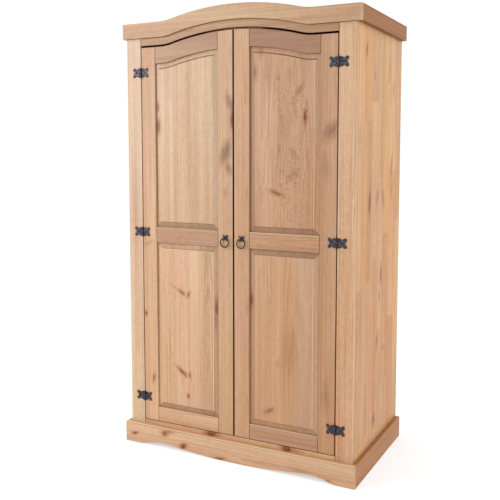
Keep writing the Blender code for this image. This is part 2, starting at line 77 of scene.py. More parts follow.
# The arch of the cornice, the opening, the doors and the upper panels
ARCH_HALF_RUN = 0.343
ARCH_CROWN_SHARE = 0.83  # crown radius as a share of both radii together
OPENING_RISE = 0.0445
CORNICE_RISE = 0.0425
ARCH_STEP = 0.0098       # spacing of the points along an arched edge
END_ROOM = 0.004         # and how far they keep from a board's ends
CORNICE_CHAMFER = 0.008
LAP_HEIGHT = 0.010

# The plinth
BELLY_RADIUS = 2.45
NOTCH_RADIUS = 0.318
NOTCH_HEIGHT = 0.020
BELLY_CLEARANCE = 0.0005
PLINTH_BEVEL = 0.003
PLINTH_STATIONS = 104

# Door panels
TONGUE_DEPTH = 0.0085
TONGUE_THICKNESS = 0.006
GROOVE_DEPTH = 0.009
FIELD_BORDER = 0.024
FIELD_RAISE = 0.007
ARRIS_WIDTH = 0.0016     # the soft edge of a raised field
QUIRK_FOOT = 0.0212      # a border across the grain gets painted shade from here to the field
ARCH_QUIRK_FOOT = 0.0190
# Painted shade in the quirk beside a raised field, where a shadow falls
QUIRK_PAINTED_SHADE = -1.25
CUTTER_REACH = 0.02      # how far a border's cutter runs past the panel
CUTTER_HEIGHT = 0.004    # and how far it stands out from the field

# Hardware
BARREL_RADIUS = 0.0042
BARREL_HALF = 0.019
KNUCKLE_HALF = 0.007
LEAF_THICKNESS = 0.0022
LEAF_INNER = 0.0048
LEAF_FRONT = BARREL_RADIUS - LEAF_THICKNESS
PIN_RADIUS = 0.0015
PIN_BORE = 0.00165
RING_WIRE = 0.0026
EYE_WIRE = 0.0014
EYE_RADIUS = 0.0048
SOCKET_DEPTH = 0.012
SOCKET_FLOOR = 0.003
METAL_WELD = 0.000002

# What the CAD says about the rest
CORNICE_LOW, CORNICE_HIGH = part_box("cornice_front")
CORNICE_BOTTOM = CORNICE_LOW.z
CORNICE_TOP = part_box("cornice_left")[1].z
OPENING_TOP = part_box("arched_top_rail")[0].z
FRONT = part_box("arched_top_rail")[0].y
FRAME_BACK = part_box("arched_top_rail")[1].y
DOOR_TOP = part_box("left_door_hinge_stile")[1].z
RAIL_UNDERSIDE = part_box("left_door_top_rail")[0].z


# --- Meshes ------------------------------------------------------------------------------
def arch_lift(x, rise):
    """Height of the arch above its flat ends: a crown arc that flows into a hollow arc."""
    both_radii = (ARCH_HALF_RUN ** 2 + rise ** 2) / (2 * rise)
    crown = ARCH_CROWN_SHARE * both_radii
    hollow = both_radii - crown
    away = abs(x)
    if away >= ARCH_HALF_RUN:
        return 0.0
    if away <= ARCH_HALF_RUN * ARCH_CROWN_SHARE:
        return rise - (crown - math.sqrt(crown ** 2 - away ** 2))
    return hollow - math.sqrt(hollow ** 2 - (ARCH_HALF_RUN - away) ** 2)


def arch_stations(low, high):
    """Stations along X, close together over the arch and none over its flat ends."""
    count = 2 * round(ARCH_HALF_RUN / ARCH_STEP)
    inside = [ARCH_HALF_RUN * (2 * i / count - 1) for i in range(count + 1)]
    return [low] + [x for x in inside if low + END_ROOM < x < high - END_ROOM] + [high]


def plinth_height(x):
    """Lower edge of the plinth board: a belly, a notch on each side and two feet."""
    reach = math.sqrt(NOTCH_HEIGHT * (2 * (BELLY_RADIUS + NOTCH_RADIUS) - NOTCH_HEIGHT))
    tangent = reach * BELLY_RADIUS / (BELLY_RADIUS + NOTCH_RADIUS)
    centre = NOTCH_HEIGHT - NOTCH_RADIUS
    foot = reach + math.sqrt(NOTCH_RADIUS ** 2 - centre ** 2)
    away = abs(x)
    if away <= tangent:
        return BELLY_CLEARANCE + BELLY_RADIUS - math.sqrt(BELLY_RADIUS ** 2 - away ** 2)
    if away < foot:
        return max(0.0, centre + math.sqrt(NOTCH_RADIUS ** 2 - (away - reach) ** 2))
    return 0.0


def angles(count):
    """Equal steps round a circle, in radians."""
    return [2 * math.pi * i / count for i in range(count)]


def at_x(x, section):
    """A ring of points across X, from (y, z)."""
    return [Vector((x, y, z)) for y, z in section]


def at_y(y, outline):
    """A ring of points across Y, from (x, z)."""
    return [Vector((x, y, z)) for x, z in outline]


def loft(bm, rings, closed_ends=True):
    """Join rings of equally many points, and cap the first and the last. Returns the sides."""
    rows = [[bm.verts.new(point) for point in ring] for ring in rings]
    count = len(rows[0])
    sides = []
    for near, far in zip(rows, rows[1:]):
        for i in range(count):
            j = (i + 1) % count
            sides.append(bm.faces.new((near[i], near[j], far[j], far[i])))
    if closed_ends:
        bm.faces.new(rows[0][::-1])
        bm.faces.new(rows[-1])
    return sides


def shade_smooth(faces):
    for face in faces:
        face.smooth = True


def smooth_curves(bm, limit=25):
    """Shade smooth the faces that meet a neighbour at a small angle, and crease the rest."""
    flat, sharp = 0.05, 50
    for edge in bm.edges:
        if edge.is_manifold:
            angle = math.degrees(edge.calc_face_angle(0.0))
            if flat < angle < limit:
                shade_smooth(edge.link_faces)
            edge.smooth = angle < sharp


def outward(bm, weld=0.0):
    """Make every face look outward, once the points that are very close are welded."""
    if weld:
        bmesh.ops.remove_doubles(bm, verts=bm.verts, dist=weld)
    bmesh.ops.recalc_face_normals(bm, faces=bm.faces)


def lofted(rings, limit=25):
    """A solid through rings of points, with its curves shaded smooth up to a limit."""
    bm = bmesh.new()
    loft(bm, rings)
    outward(bm)
    if limit:
        smooth_curves(bm, limit)
    return bm


def lathe(bm, profile, centre, axis, sides):
    """A turned solid from (radius, height) points about an axis through its centre."""
    turn = Vector((0, 0, 1)).rotation_difference(Vector(axis)).to_matrix()
    rings = []
    for radius, height in profile:
        rings.append([Vector(centre) + turn @ Vector((radius * math.cos(angle),
                                                      radius * math.sin(angle), height))
                      for angle in angles(sides)])
    return loft(bm, rings)


def turned(profile, centre, axis, sides, limit=25, weld=0.0):
    """A turned solid as a mesh of its own."""
    bm = bmesh.new()
    lathe(bm, profile, centre, axis, sides)
    outward(bm, weld)
    smooth_curves(bm, limit)
    return bm


def hoop(bm, centre, first, second, across, radius, bar, steps, sides):
    """A closed loop of bar. First and second are directions in its plane. Across is square to
    it, and its length flattens the bar. The bar's radius is a function of the angle."""
    rings = []
    for angle in angles(steps) + [2 * math.pi]:
        out = Vector(first) * math.cos(angle) + Vector(second) * math.sin(angle)
        rings.append([centre + out * (radius + bar(angle) * math.cos(turn))
                      + Vector(across) * (bar(angle) * math.sin(turn)) for turn in angles(sides)])
    shade_smooth(loft(bm, rings, closed_ends=False))


def block(bm, low, high):
    """A squared block between two corners."""
    size = Vector(high) - Vector(low)
    middle = (Vector(high) + Vector(low)) / 2
    matrix = Matrix.Translation(middle) @ Matrix.Diagonal((*size, 1.0))
    bmesh.ops.create_cube(bm, size=1.0, matrix=matrix)


def tidy(bm):
    """Weld, dissolve flat seams and make every face look outward."""
    bmesh.ops.remove_doubles(bm, verts=bm.verts, dist=NEARLY)
    bmesh.ops.dissolve_limit(bm, angle_limit=math.radians(0.2), verts=bm.verts, edges=bm.edges)
    outward(bm)


def copy_of(node):
    """A bmesh copy of a CAD node, welded back into whole faces."""
    bm = bmesh.new()
    bm.from_mesh(frame["nodes"][node].data)
    tidy(bm)
    return bm


def extent(bm):
    """The lowest and highest corners of a mesh."""
    points = [v.co for v in bm.verts]
    low = Vector([min(p[i] for p in points) for i in range(3)])
    high = Vector([max(p[i] for p in points) for i in range(3)])
    return low, high


def convex_edges(bm, angle=40):
    """The edges whose faces turn away from each other by more than an angle."""
    limit = math.radians(angle)
    return [e for e in bm.edges if e.is_manifold and e.calc_face_angle_signed(0.0) > limit]


def outer_edges(bm):
    """The convex edges round a board's two broad faces, and its own corners."""
    low, high = extent(bm)
    size = high - low
    thin = min(range(3), key=lambda axis: size[axis])

    def planes(vert):
        return {(axis, end) for axis in range(3) for end, corner in enumerate((low, high))
                if abs(vert.co[axis] - corner[axis]) < 2 * NEARLY}

    chosen = []
    for edge in convex_edges(bm):
        shared = planes(edge.verts[0]) & planes(edge.verts[1])
        if len(shared) >= 2 or any(axis == thin for axis, _ in shared):
            chosen.append(edge)
    return chosen


def front_edges(bm, front, angle=40):
    """The convex edges that lie in the front face of a plate."""
    return [e for e in convex_edges(bm, angle) if all(v.co.y < front + NEARLY for v in e.verts)]


def ease(bm, edges, width=EASE, segments=2):
    """Round edges over by a small width. Returns the new faces, shaded smooth."""
    made = bmesh.ops.bevel(bm, geom=edges, offset=width, offset_type="OFFSET",
                           segments=segments, profile=0.5, affect="EDGES", clamp_overlap=True)
    shade_smooth(made["faces"])
    return made["faces"]


def to_object(name, bm, material):
    """An object in the scene from a bmesh, which is used up."""
    mesh = bpy.data.meshes.new(name)
    bm.to_mesh(mesh)
    bm.free()
    mesh.materials.append(material)
    piece = bpy.data.objects.new(name, mesh)
    bpy.context.scene.collection.objects.link(piece)
    return piece


def body_of(node):
    return frame["nodes"][node]["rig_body"]


def subtract(name, bm, cutters):
    """A bmesh with several others cut out of it. The boolean runs as a modifier."""
    guide = to_object(name + "_blank", bm, None)
    others = [to_object(name + "_cutter", cutter, None) for cutter in cutters]
    for other in others:
        modifier = guide.modifiers.new("cut", "BOOLEAN")
        modifier.operation = "DIFFERENCE"
        modifier.solver = "EXACT"
        modifier.object = other
    bpy.context.view_layer.update()
    result = bmesh.new()
    result.from_object(guide, bpy.context.evaluated_depsgraph_get())
    for piece in [guide] + others:
        bpy.data.objects.remove(piece, do_unlink=True)
    tidy(result)
    return result


# --- Nodes -------------------------------------------------------------------------------
class Wire:
    """An output socket. Sums of wires and numbers add Math nodes to its tree, or VectorMath
    nodes where the wire carries a vector."""

    def __init__(self, tree, socket):
        self.tree = tree
        self.socket = socket

    def math(self, operation, *others, **settings):
        kind = "VectorMath" if self.socket.type == "VECTOR" else "Math"
        return self.tree.wire(kind, dict(enumerate((self, *others))), operation=operation,
                              **settings)

    def __add__(self, other):
        return self.math("ADD", other)

    def __sub__(self, other):
        return self.math("SUBTRACT", other)

    def __mul__(self, other):
        return self.math("MULTIPLY", other)

    def __truediv__(self, other):
        return self.math("DIVIDE", other)

    def __abs__(self):
        return self.math("ABSOLUTE")

    def linear(self, gain, offset, clamp=False):
        return self.math("MULTIPLY_ADD", gain, offset, use_clamp=clamp)

    def length(self):
        return self.tree.wire("VectorMath", {0: self}, "Value", operation="LENGTH")

    def split(self):
        return [Wire(self.tree, part) for part in self.tree.add("SeparateXYZ", {0: self}).outputs]

    def smooth(self, low, high, to_low=0.0, to_high=1.0):
        return self.tree.wire("MapRange", {0: self, 1: low, 2: high, 3: to_low, 4: to_high},
                              interpolation_type="SMOOTHSTEP")

    def ramp(self, *stops):
        """A colour ramp, with each stop given as (position, colour)."""
        node = self.tree.add("ValToRGB", {0: self})
        elements = node.color_ramp.elements
        while len(elements) > 1:
            elements.remove(elements[-1])
        elements[0].position, elements[0].color = stops[0][0], colour(stops[0][1])
        for position, value in stops[1:]:
            elements.new(position).color = colour(value)
        return Wire(self.tree, node.outputs[0])

    def mixed(self, factor, other, blend="MIX"):
        other = colour(other) if isinstance(other, str) else other
        return self.tree.wire("Mix", {0: factor, 6: self, 7: other}, 2, data_type="RGBA",
                              blend_type=blend)

    def tinted(self, factor, other):
        return self.mixed(factor, other, "MULTIPLY")


class Tree:
    """Adds nodes to one node tree."""

    def __init__(self, tree):
        self.tree = tree
        tree.nodes.clear()

    def connect(self, node, inputs):
        """Give a node's sockets their values, which are wires or plain settings."""
        for key, value in inputs.items():
            if isinstance(value, Wire):
                self.tree.links.new(value.socket, node.inputs[key])
            else:
                node.inputs[key].default_value = value

    def add(self, kind, inputs=None, **settings):
        node = self.tree.nodes.new("ShaderNode" + kind)
        for name, value in settings.items():
            setattr(node, name, value)
        self.connect(node, inputs or {})
        return node

    def wire(self, kind, inputs=None, output=0, **settings):
        return Wire(self, self.add(kind, inputs, **settings).outputs[output])

    def join(self, x, y, z):
        return self.wire("CombineXYZ", {0: x, 1: y, 2: z})

    def attribute(self, name):
        return self.wire("Attribute", output="Vector", attribute_name=name)

    def noise(self, vector, detail=2.0, roughness=0.5, distortion=0.0, scale=1.0):
        return self.wire("TexNoise", {"Vector": vector, "Scale": scale, "Detail": detail,
                                      "Roughness": roughness, "Distortion": distortion})

    def white(self, x, y, z, output="Value"):
        return self.wire("TexWhiteNoise", {"Vector": self.join(x, y, z)}, output,
                         noise_dimensions="3D")


def colour(value):
    """Linear RGBA from an sRGB hex string, or a grey from a number."""
    if not isinstance(value, str):
        return (value, value, value, 1.0)
    parts = [int(value[i:i + 2], 16) / 255 for i in (0, 2, 4)]
    linear = [p / 12.92 if p <= 0.04045 else ((p + 0.055) / 1.055) ** 2.4 for p in parts]
    return (*linear, 1.0)


SOCKET_KINDS = {"Vector": "Vector", "Centre": "Vector", "Size": "Vector", "Angle": "Vector",
                "Color": "Color"}


def group(name, inputs, outputs):
    """A node group with its sockets, which are numbers but for those in SOCKET_KINDS. Returns
    the group, its Tree, its inputs as wires by name, and the node that its outputs go to."""
    made = bpy.data.node_groups.new(name, "ShaderNodeTree")
    for names, way in ((inputs, "INPUT"), (outputs, "OUTPUT")):
        for socket in names.split():
            kind = "NodeSocket" + SOCKET_KINDS.get(socket, "Float")
            made.interface.new_socket(socket, in_out=way, socket_type=kind)
    tree = Tree(made)
    start = made.nodes.new("NodeGroupInput")
    end = made.nodes.new("NodeGroupOutput")
    return made, tree, {socket.name: Wire(tree, socket) for socket in start.outputs}, end


def material(name):
    """A material with one shader. Returns the material, its Tree and the shader."""
    made = bpy.data.materials.new(name)
    made.use_nodes = True
    tree = Tree(made.node_tree)
    shader = tree.add("BsdfPrincipled")
    output = tree.add("OutputMaterial", {0: Wire(tree, shader.outputs[0])})
    output.is_active_output = True
    return made, tree, shader


def surface(tree, shader, base, rough, height, strength, depth, numbers=None):
    """Give a shader its colour, roughness and bump, and the numbers of its other sockets."""
    bump = tree.wire("Bump", {"Height": height, "Strength": strength, "Distance": depth})
    tree.connect(shader, {"Base Color": base, "Roughness": rough, "Normal": bump,
                          **(numbers or {})})


# --- Pine --------------------------------------------------------------------------------
# Three attributes carry a board's own facts to one shared wood. "grain" is the place in the
# board as (across, depth, along), "board" is (seed, end grain, edge), "tint" is a colour.
NO_STAVES, NO_BLOCKS = 10.0, 50.0      # so wide and so long that a board is all one piece
STAVE_WIDTH, BLOCK_LENGTH, PANEL_STAVE = 0.083, 0.62, 0.118
BLOCK_SHIFT = 7.0                      # how far the joints of neighbouring staves are offset
RING_SPACING = 0.0046
ZIGZAG = 0.004                         # pitch of the finger joints
CURL_MIDDLE = 0.030                    # the curly patch lies this far right of the middle


def knot_group():
    """One knot: its heart, the smudge round it, and the grain pushed aside to flow past it."""
    made, tree, start, end = group("knot", "Vector Knot Halo Cloud Centre Size Angle Heart Smudge",
                                   "Vector Knot Halo Cloud")
    vector, heart = start["Vector"], start["Heart"]
    place = tree.wire("Mapping", {"Vector": vector, "Location": start["Centre"],
                                  "Rotation": start["Angle"], "Scale": start["Size"]},
                      vector_type="TEXTURE")
    ragged = tree.noise(place * (1.7, 0.0, 1.7), 3.0)
    torn = tree.noise(place * (3.4, 0.0, 1.0), 4.0, 0.7, 1.5)
    distance = place.length() + ragged.linear(0.7, -0.35)
    cloudy = place.length() + torn.linear(2.1, -1.05)
    mask = distance.smooth(0.65, 1.1, 1.0, 0.0) * heart
    halo = distance.smooth(0.9, 2.8, 1.0, 0.0) * heart
    cloud = cloudy.smooth(0.1, 1.5, 1.0, 0.0) * start["Smudge"]
    push = distance.smooth(0.8, 3.6, -0.78, 0.0) * heart.linear(0.8, 0.15, clamp=True)
    aside = (vector - start["Centre"]) * tree.join(push, 0.0, 0.0)
    tree.connect(end, {"Vector": vector + aside, "Knot": start["Knot"].math("MAXIMUM", mask),
                       "Halo": start["Halo"].math("MAXIMUM", halo),
                       "Cloud": start["Cloud"].math("MAXIMUM", cloud)})
    return made


def pine_group():
    """The wood itself: staves, growth rings, streaks, pores, knots, wax and painted shade in joints
    and gaps, painted highlights on edges, and end grain.
    """
    made, tree, start, end = group(
        "pine", "Vector Knot Halo Cloud Stave Block Phase Contrast Figure Curl",
        "Color Roughness Height")
    seed, end_grain, edge = tree.attribute("board").split()
    across, depth, along = start["Vector"].split()
    knot = start["Knot"]

    # Which stave and which finger-jointed block this is. A plain board is a single block.
    place = across / start["Stave"] + seed
    stave, inside = place.math("FLOOR"), place.math("FRACT")
    zigzag = across.math("PINGPONG", ZIGZAG) * 2.4
    shift = tree.white(stave, seed, 0.0)
    length = (along + zigzag) / start["Block"] + shift.linear(start["Phase"], 0.5)
    block_index, part = length.math("FLOOR"), length.math("FRACT")
    pick = tree.white(stave, block_index, seed, "Color").split()
    local = (inside - 0.5) * start["Stave"]
    spot = tree.join(pick[0].linear(3.0, local), pick[1].linear(3.0, depth),
                     pick[2].linear(9.0, along))

    def streak(side, forward, detail=2.0):
        return tree.noise(spot * (side, side, forward), detail)

    # Growth rings about a pith that lies behind the face and leans a little
    pith_x = local + pick[1].linear(0.09, -0.045)
    lean = along * pick[2].linear(0.030, -0.015)
    pith_y = depth + lean + pick[0].linear(0.075, 0.018)
    sway = streak(7.0, 1.1, 1.0).linear(0.036, -0.018)
    radius = tree.join(pith_x, pith_y, 0.0).length() + sway
    phase = radius / RING_SPACING + streak(70.0, 3.0) * 0.35
    strength = tree.white(phase.math("FLOOR"), seed, 3.0)
    late = phase.math("FRACT").ramp((0.0, 0.10), (0.10, 0.0), (0.52, 0.22), (0.84, 1.0),
                                    (0.95, 0.8), (1.0, 0.1))
    late = late * strength.linear(0.75, 0.25)

    broad = streak(16.0, 0.55, 3.0)
    fine = streak(120.0, 1.6, 3.0)
    line = streak(230.0, 1.1, 1.0)
    fibre = streak(620.0, 30.0)
    cloud = streak(5.0, 0.9)
    mottle = tree.noise(spot * (70.0, 70.0, 38.0), 3.0, 0.6, 0.8)
    tone = late * 0.24
    for layer, share in ((broad, 0.60), (fine, 0.55), (line, 0.50), (fibre, 0.22), (mottle, 0.42)):
        tone = tone + layer.linear(share, -share / 2)
    block_pick = tree.white(block_index, stave, seed + 5.0, "Color").split()
    tone = tone.linear(start["Figure"], 0.34) + (block_pick[0] - 0.5) * start["Contrast"]
    wood = tone.ramp((0.0, "d7bfaa"), (0.30, "c9ab91"), (0.55, "bb987b"), (0.80, "a68061"),
                     (1.0, "8d6849"))
    wood = wood.tinted(cloud.smooth(0.45, 0.70, 0.0, 0.75), "f8e2dc")
    wood = wood.tinted(cloud.smooth(0.30, 0.55, 0.55, 0.0), "fff6dc")
    wood = wood.tinted(block_pick[1].smooth(0.45, 0.95) * start["Contrast"] * 2.2, "ffe2b4")

    # Curly marks, as thin closed lines in a ragged patch
    swirl = tree.noise(spot * (58.0, 58.0, 34.0), 1.5, 0.5, 1.2)
    thread = abs(swirl - 0.5).smooth(0.0, 0.035, 1.0, 0.0)
    patch = (abs(across - CURL_MIDDLE).smooth(0.045, 0.085, 1.0, 0.0)
             * streak(14.0, 7.0).smooth(0.40, 0.62, 0.15, 1.0))
    wood = wood.tinted(thread * patch * start["Curl"], "9c6f58")
    # Open pores and resin flecks
    pore = streak(900.0, 36.0, 1.0).smooth(0.62, 0.74)
    wood = wood.mixed(pore * 0.22, "8a5a34")
    # Glue lines between staves and blocks
    seam_side = inside.math("MINIMUM", inside.linear(-1.0, 1.0)) * start["Stave"]
    seam_end = part.math("MINIMUM", part.linear(-1.0, 1.0)) * start["Block"]
    glue = seam_side.math("MINIMUM", seam_end).smooth(0.0, 0.0011, 0.32, 0.0)
    wood = wood.mixed(glue, "8f6238")
    # Knots, with a smudge round them
    wood = wood.tinted(start["Cloud"], "bdafa6")
    wood = wood.tinted(start["Halo"], "e8c3a0")
    heart = streak(240.0, 170.0, 3.0).ramp((0.30, "572a17"), (0.55, "7d4529"), (0.75, "a0623c"))
    wood = wood.mixed(knot, heart)
    # End grain drinks more wax, and shows its pores
    open_end = end_grain.smooth(0.10, 0.55)
    wood = wood.mixed(open_end * streak(420.0, 420.0).smooth(0.50, 0.66, 0.62, 0.95), "a57c58")
    # Wax and painted shade in the joints, painted shade on faces inside the gaps, wear with a
    # painted highlight on outer edges, and painted highlights on arrises
    wood = wood.mixed(edge.smooth(-1.0, 0.0, 0.55, 0.0), "6f4a2c")
    wood = wood.mixed(edge.smooth(-2.0, -1.0, 0.92, 0.0), "3d200e")
    wood = wood.mixed(edge.smooth(0.0, 1.0) * broad.smooth(0.35, 0.6, 0.2, 0.5), "e8cfb2")
    wood = wood.mixed(edge.smooth(1.0, 2.0, 0.0, 0.85), "f7e6cf")
    wood = wood.tinted(1.0, tree.attribute("tint"))

    rough = open_end.linear(0.16, knot.linear(-0.08, fine.linear(0.16, 0.40)))
    height = pore.linear(-0.5, late.linear(0.35, fibre * 0.6))
    height = knot.linear(0.5, glue.linear(-1.6, height))
    tree.connect(end, {"Color": wood, "Roughness": rough, "Height": height})
    return made


KNOT = knot_group()
PINE = pine_group()


def pine(name, knots=(), stave=NO_STAVES, block=NO_BLOCKS, contrast=0.0, figure=1.0, curl=0.0,
         gloss=0.42):
    """Waxed pine. A knot is (across, along, half width, half length, angle, heart, smudge),
    placed from the middle of the board. Staves have a width, blocks a length."""
    made, tree, shader = material(name)
    vector, knot, halo, cloud = tree.attribute("grain"), 0.0, 0.0, 0.0
    for across, along, wide, long, angle, heart, smudge in knots:
        node = tree.add("Group", node_tree=KNOT)
        tree.connect(node, {"Vector": vector, "Knot": knot, "Halo": halo, "Cloud": cloud,
                            "Centre": (across, 0.0, along), "Size": (wide, 9.0, long),
                            "Angle": (0.0, math.radians(angle), 0.0), "Heart": heart,
                            "Smudge": smudge})
        vector, knot, halo, cloud = [Wire(tree, socket) for socket in node.outputs]
    phase = 0.0 if block == NO_BLOCKS else BLOCK_SHIFT
    wood = tree.add("Group", node_tree=PINE)
    tree.connect(wood, {"Vector": vector, "Knot": knot, "Halo": halo, "Cloud": cloud,
                        "Stave": stave, "Block": block, "Phase": phase, "Contrast": contrast,
                        "Figure": figure, "Curl": curl})
    base, rough, height = [Wire(tree, socket) for socket in wood.outputs]
    surface(tree, shader, base, rough, height, 0.35, 0.0006,
            {"Specular IOR Level": gloss, "Coat Weight": 0.06, "Coat Roughness": 0.35})
    return made


# --- Other finishes ----------------------------------------------------------------------
def blackened_iron(name, brown=0.0, skins=("252327", "3b3a44", "525565")):
    """Hammered iron with a blue-black skin, browner towards the ends of a hinge leaf, where
    the attribute "leaf" holds the place from the middle of the leaf."""
    made, tree, shader = material(name)
    place = tree.wire("TexCoord", output="Object")
    patch = tree.noise(place, 3.0, scale=160.0)
    grain = tree.noise(place, scale=1500.0)
    dimple = tree.wire("TexVoronoi", {"Vector": place, "Scale": 330.0, "Smoothness": 0.6},
                       "Distance", feature="SMOOTH_F1")
    skin = patch.ramp(*zip((0.32, 0.50, 0.66), skins))
    skin = skin.mixed(grain.smooth(0.55, 0.72, 0.0, 0.45), "4f3a2d")
    if brown:
        skin = skin.mixed(brown, "4a2b1a")
    end = abs(tree.attribute("leaf").split()[2])
    skin = skin.mixed(end.smooth(0.008, 0.016, 0.0, 0.8), "3d2619")
    surface(tree, shader, skin, patch.smooth(0.3, 0.7, 0.52, 0.34), grain.linear(0.12, dimple),
            0.55, 0.0009, {"Metallic": 0.75})
    return made


def zinc_steel(name):
    """Bright plated steel with faint brushing."""
    made, tree, shader = material(name)
    place = tree.wire("TexCoord", output="Object")
    brushed = tree.noise(place * (180.0, 180.0, 2600.0), 3.0)
    surface(tree, shader, brushed.ramp((0.3, "8f918f"), (0.7, "bdbfbc")),
            brushed.smooth(0.3, 0.7, 0.24, 0.42), brushed, 0.2, 0.0002, {"Metallic": 1.0})
    return made


def moulded_plastic(name):
    """White moulded plastic with a fine spark-eroded surface."""
    made, tree, shader = material(name)
    place = tree.wire("TexCoord", output="Object")
    grain = tree.noise(place, scale=2600.0)
    cloud = tree.noise(place, scale=40.0)
    surface(tree, shader, cloud.ramp((0.3, "e4e1d8"), (0.7, "efede6")),
            grain.smooth(0.3, 0.7, 0.34, 0.50), grain, 0.25, 0.0002)
    return made


def plywood(name):
    """Thin plywood: a rotary-cut face with wide, wandering figure."""
    made, tree, shader = material(name)
    place = tree.attribute("grain")
    bend = tree.noise(place * (3.0, 3.0, 0.8))
    across, depth, along = place.split()
    warped = tree.join(bend.linear(0.12, across), depth, along)
    figure = tree.noise(warped * (26.0, 26.0, 1.1), 4.0, 0.6)
    fibre = tree.noise(place * (700.0, 700.0, 14.0))
    face = figure.ramp((0.25, "dcbf94"), (0.45, "cda978"), (0.60, "c29a68"), (0.78, "a98055"))
    face = face.mixed(fibre.smooth(0.55, 0.72, 0.0, 0.25), "7c5836")
    surface(tree, shader, face, fibre.smooth(0.3, 0.7, 0.55, 0.70), fibre, 0.3, 0.0004)
    return made


IRON = blackened_iron("black_iron")
IRON_WORN = blackened_iron("black_iron_worn", 0.2)
IRON_BROWN = blackened_iron("brown_iron", 0.65, ("1f1d21", "302f37", "424553"))
IRON_DARK = blackened_iron("dark_iron", skins=("141315", "1b1a1d", "29292f"))
STEEL = zinc_steel("plated_steel")
PLASTIC = moulded_plastic("white_plastic")
PLY = plywood("birch_plywood")
PLAIN_PINE = pine("pine_plain")
LIVELY_PINE = pine("pine_lively", figure=1.3)
DULL_PINE = pine("pine_dull", gloss=0.22)
STAVED_PINE = pine("pine_staves", (), STAVE_WIDTH, BLOCK_LENGTH, 0.34, 1.2)


# --- What each board looks like ----------------------------------------------------------
# A board's own colour, as a tint over the shared wood. Where two are given, they are for the
# left and the right one.
TINTS = {
    "bottom_front_rail": "efe4cc", "arched_top_rail": "c9b79c", "cornice_front": "d8ceb8",
    "plinth_front": "efebe2", "cornice_{}": "ae7f3b", "plinth_{}": "cead85",
    "{}_side_panel": "f1dfb8", "{}_front_stile": ("f3faf8", "eee2d3"),
    "{}_door_hinge_stile": ("e8dccb", "d8c5b3"), "{}_door_meeting_stile": ("e4d8c6", "e2d4c2"),
    "{}_door_top_rail": ("c5b4a3", "b49c8b"), "{}_door_mid_rail": ("d2c2b9", "d8cdb9"),
    "{}_door_bottom_rail": ("e6dacd", "cfc1b6"), "{}_door_upper_panel": ("e6e3dc", "dccbbb"),
    "{}_door_lower_panel": ("e8e6dc", "dbd1c5"),
}
BOARD_TINTS = {}
for pattern, tints in TINTS.items():
    pair = (tints, tints) if isinstance(tints, str) else tints
    BOARD_TINTS.update({pattern.format(side): tint for side, tint in zip(SIDES, pair)})
INNER_TINT = "efe2d2"      # the boards inside and behind
TINT_DRIFT = (0.04, -0.05, -0.16)      # the outer boards are warmer towards the floor
BOARD_DRIFTS = {           # and these change in their own way
    "left_front_stile": (0.16, 0.10, 0.02), "left_door_hinge_stile": (0.20, 0.22, 0.06),
    "right_door_hinge_stile": (0.01, -0.14, -0.41),
}

# The value "edge" runs from -2, painted shade inside a gap, over -1, wax and painted shade in a
# joint, and 0, bare wood, to 1, wear with a painted highlight on an edge, and 2, a painted
# highlight on an arris.
GAP_PAINTED_SHADE, TIGHT_JOINT, NEAR_JOINT, WEAR_AND_HIGHLIGHT = -2.0, -1.0, -0.8, 1.0
TIGHT = 0.0022             # an eased edge is in a tight joint when another board is this near
NEAR = 0.009               # and in a joint, or a face in a gap, when one is this near
# Faces inside the gaps of these boards and of the doors get painted shade
GAP_BOARDS = ("left_front_stile", "right_front_stile", "arched_top_rail", "bottom_front_rail")
# Lighter painted shade in the gaps of these boards, and lighter wax and painted shade in the joints
# of the next
SOFT_GAPS = {"left_front_stile": -1.2, "left_door_hinge_stile": -1.2, "bottom_front_rail": -1.3}
SOFT_JOINTS = {"left_door_top_rail": -0.6, "right_door_top_rail": -0.6}
ARRIS_HIGHLIGHTS = {         # upper front edges with a painted highlight
    "right_door_bottom_rail": 2.0, "right_door_mid_rail": 1.7, "left_door_bottom_rail": 1.2,
    "left_door_mid_rail": 0.8,
}
# The same value on a panel's borders that face left, right, up and down: partly staining, partly
# painted shade by the way each border faces
BORDER_SHADES = {
    ("left", "upper"): (-0.18, -0.30, -0.10, -0.85),
    ("left", "lower"): (-0.10, -0.42, -0.50, -0.82),
    ("right", "upper"): (-0.60, -0.08, -0.12, -0.75),
    ("right", "lower"): (-0.55, -0.15, -0.85, -0.50),
}
# And the painted highlight on the soft edges of its field
ARRIS_LIGHT = {
    ("left", "upper", "right"): 0.6, ("left", "lower", "right"): 1.7,
    ("left", "lower", "top"): 1.3, ("right", "upper", "right"): 1.7,
    ("right", "lower", "right"): 1.6, ("right", "lower", "top"): 0.9,
}
# How strong the curly marks on a panel are
PANEL_CURL = {("right", "upper"): 0.55, ("right", "lower"): 0.15}

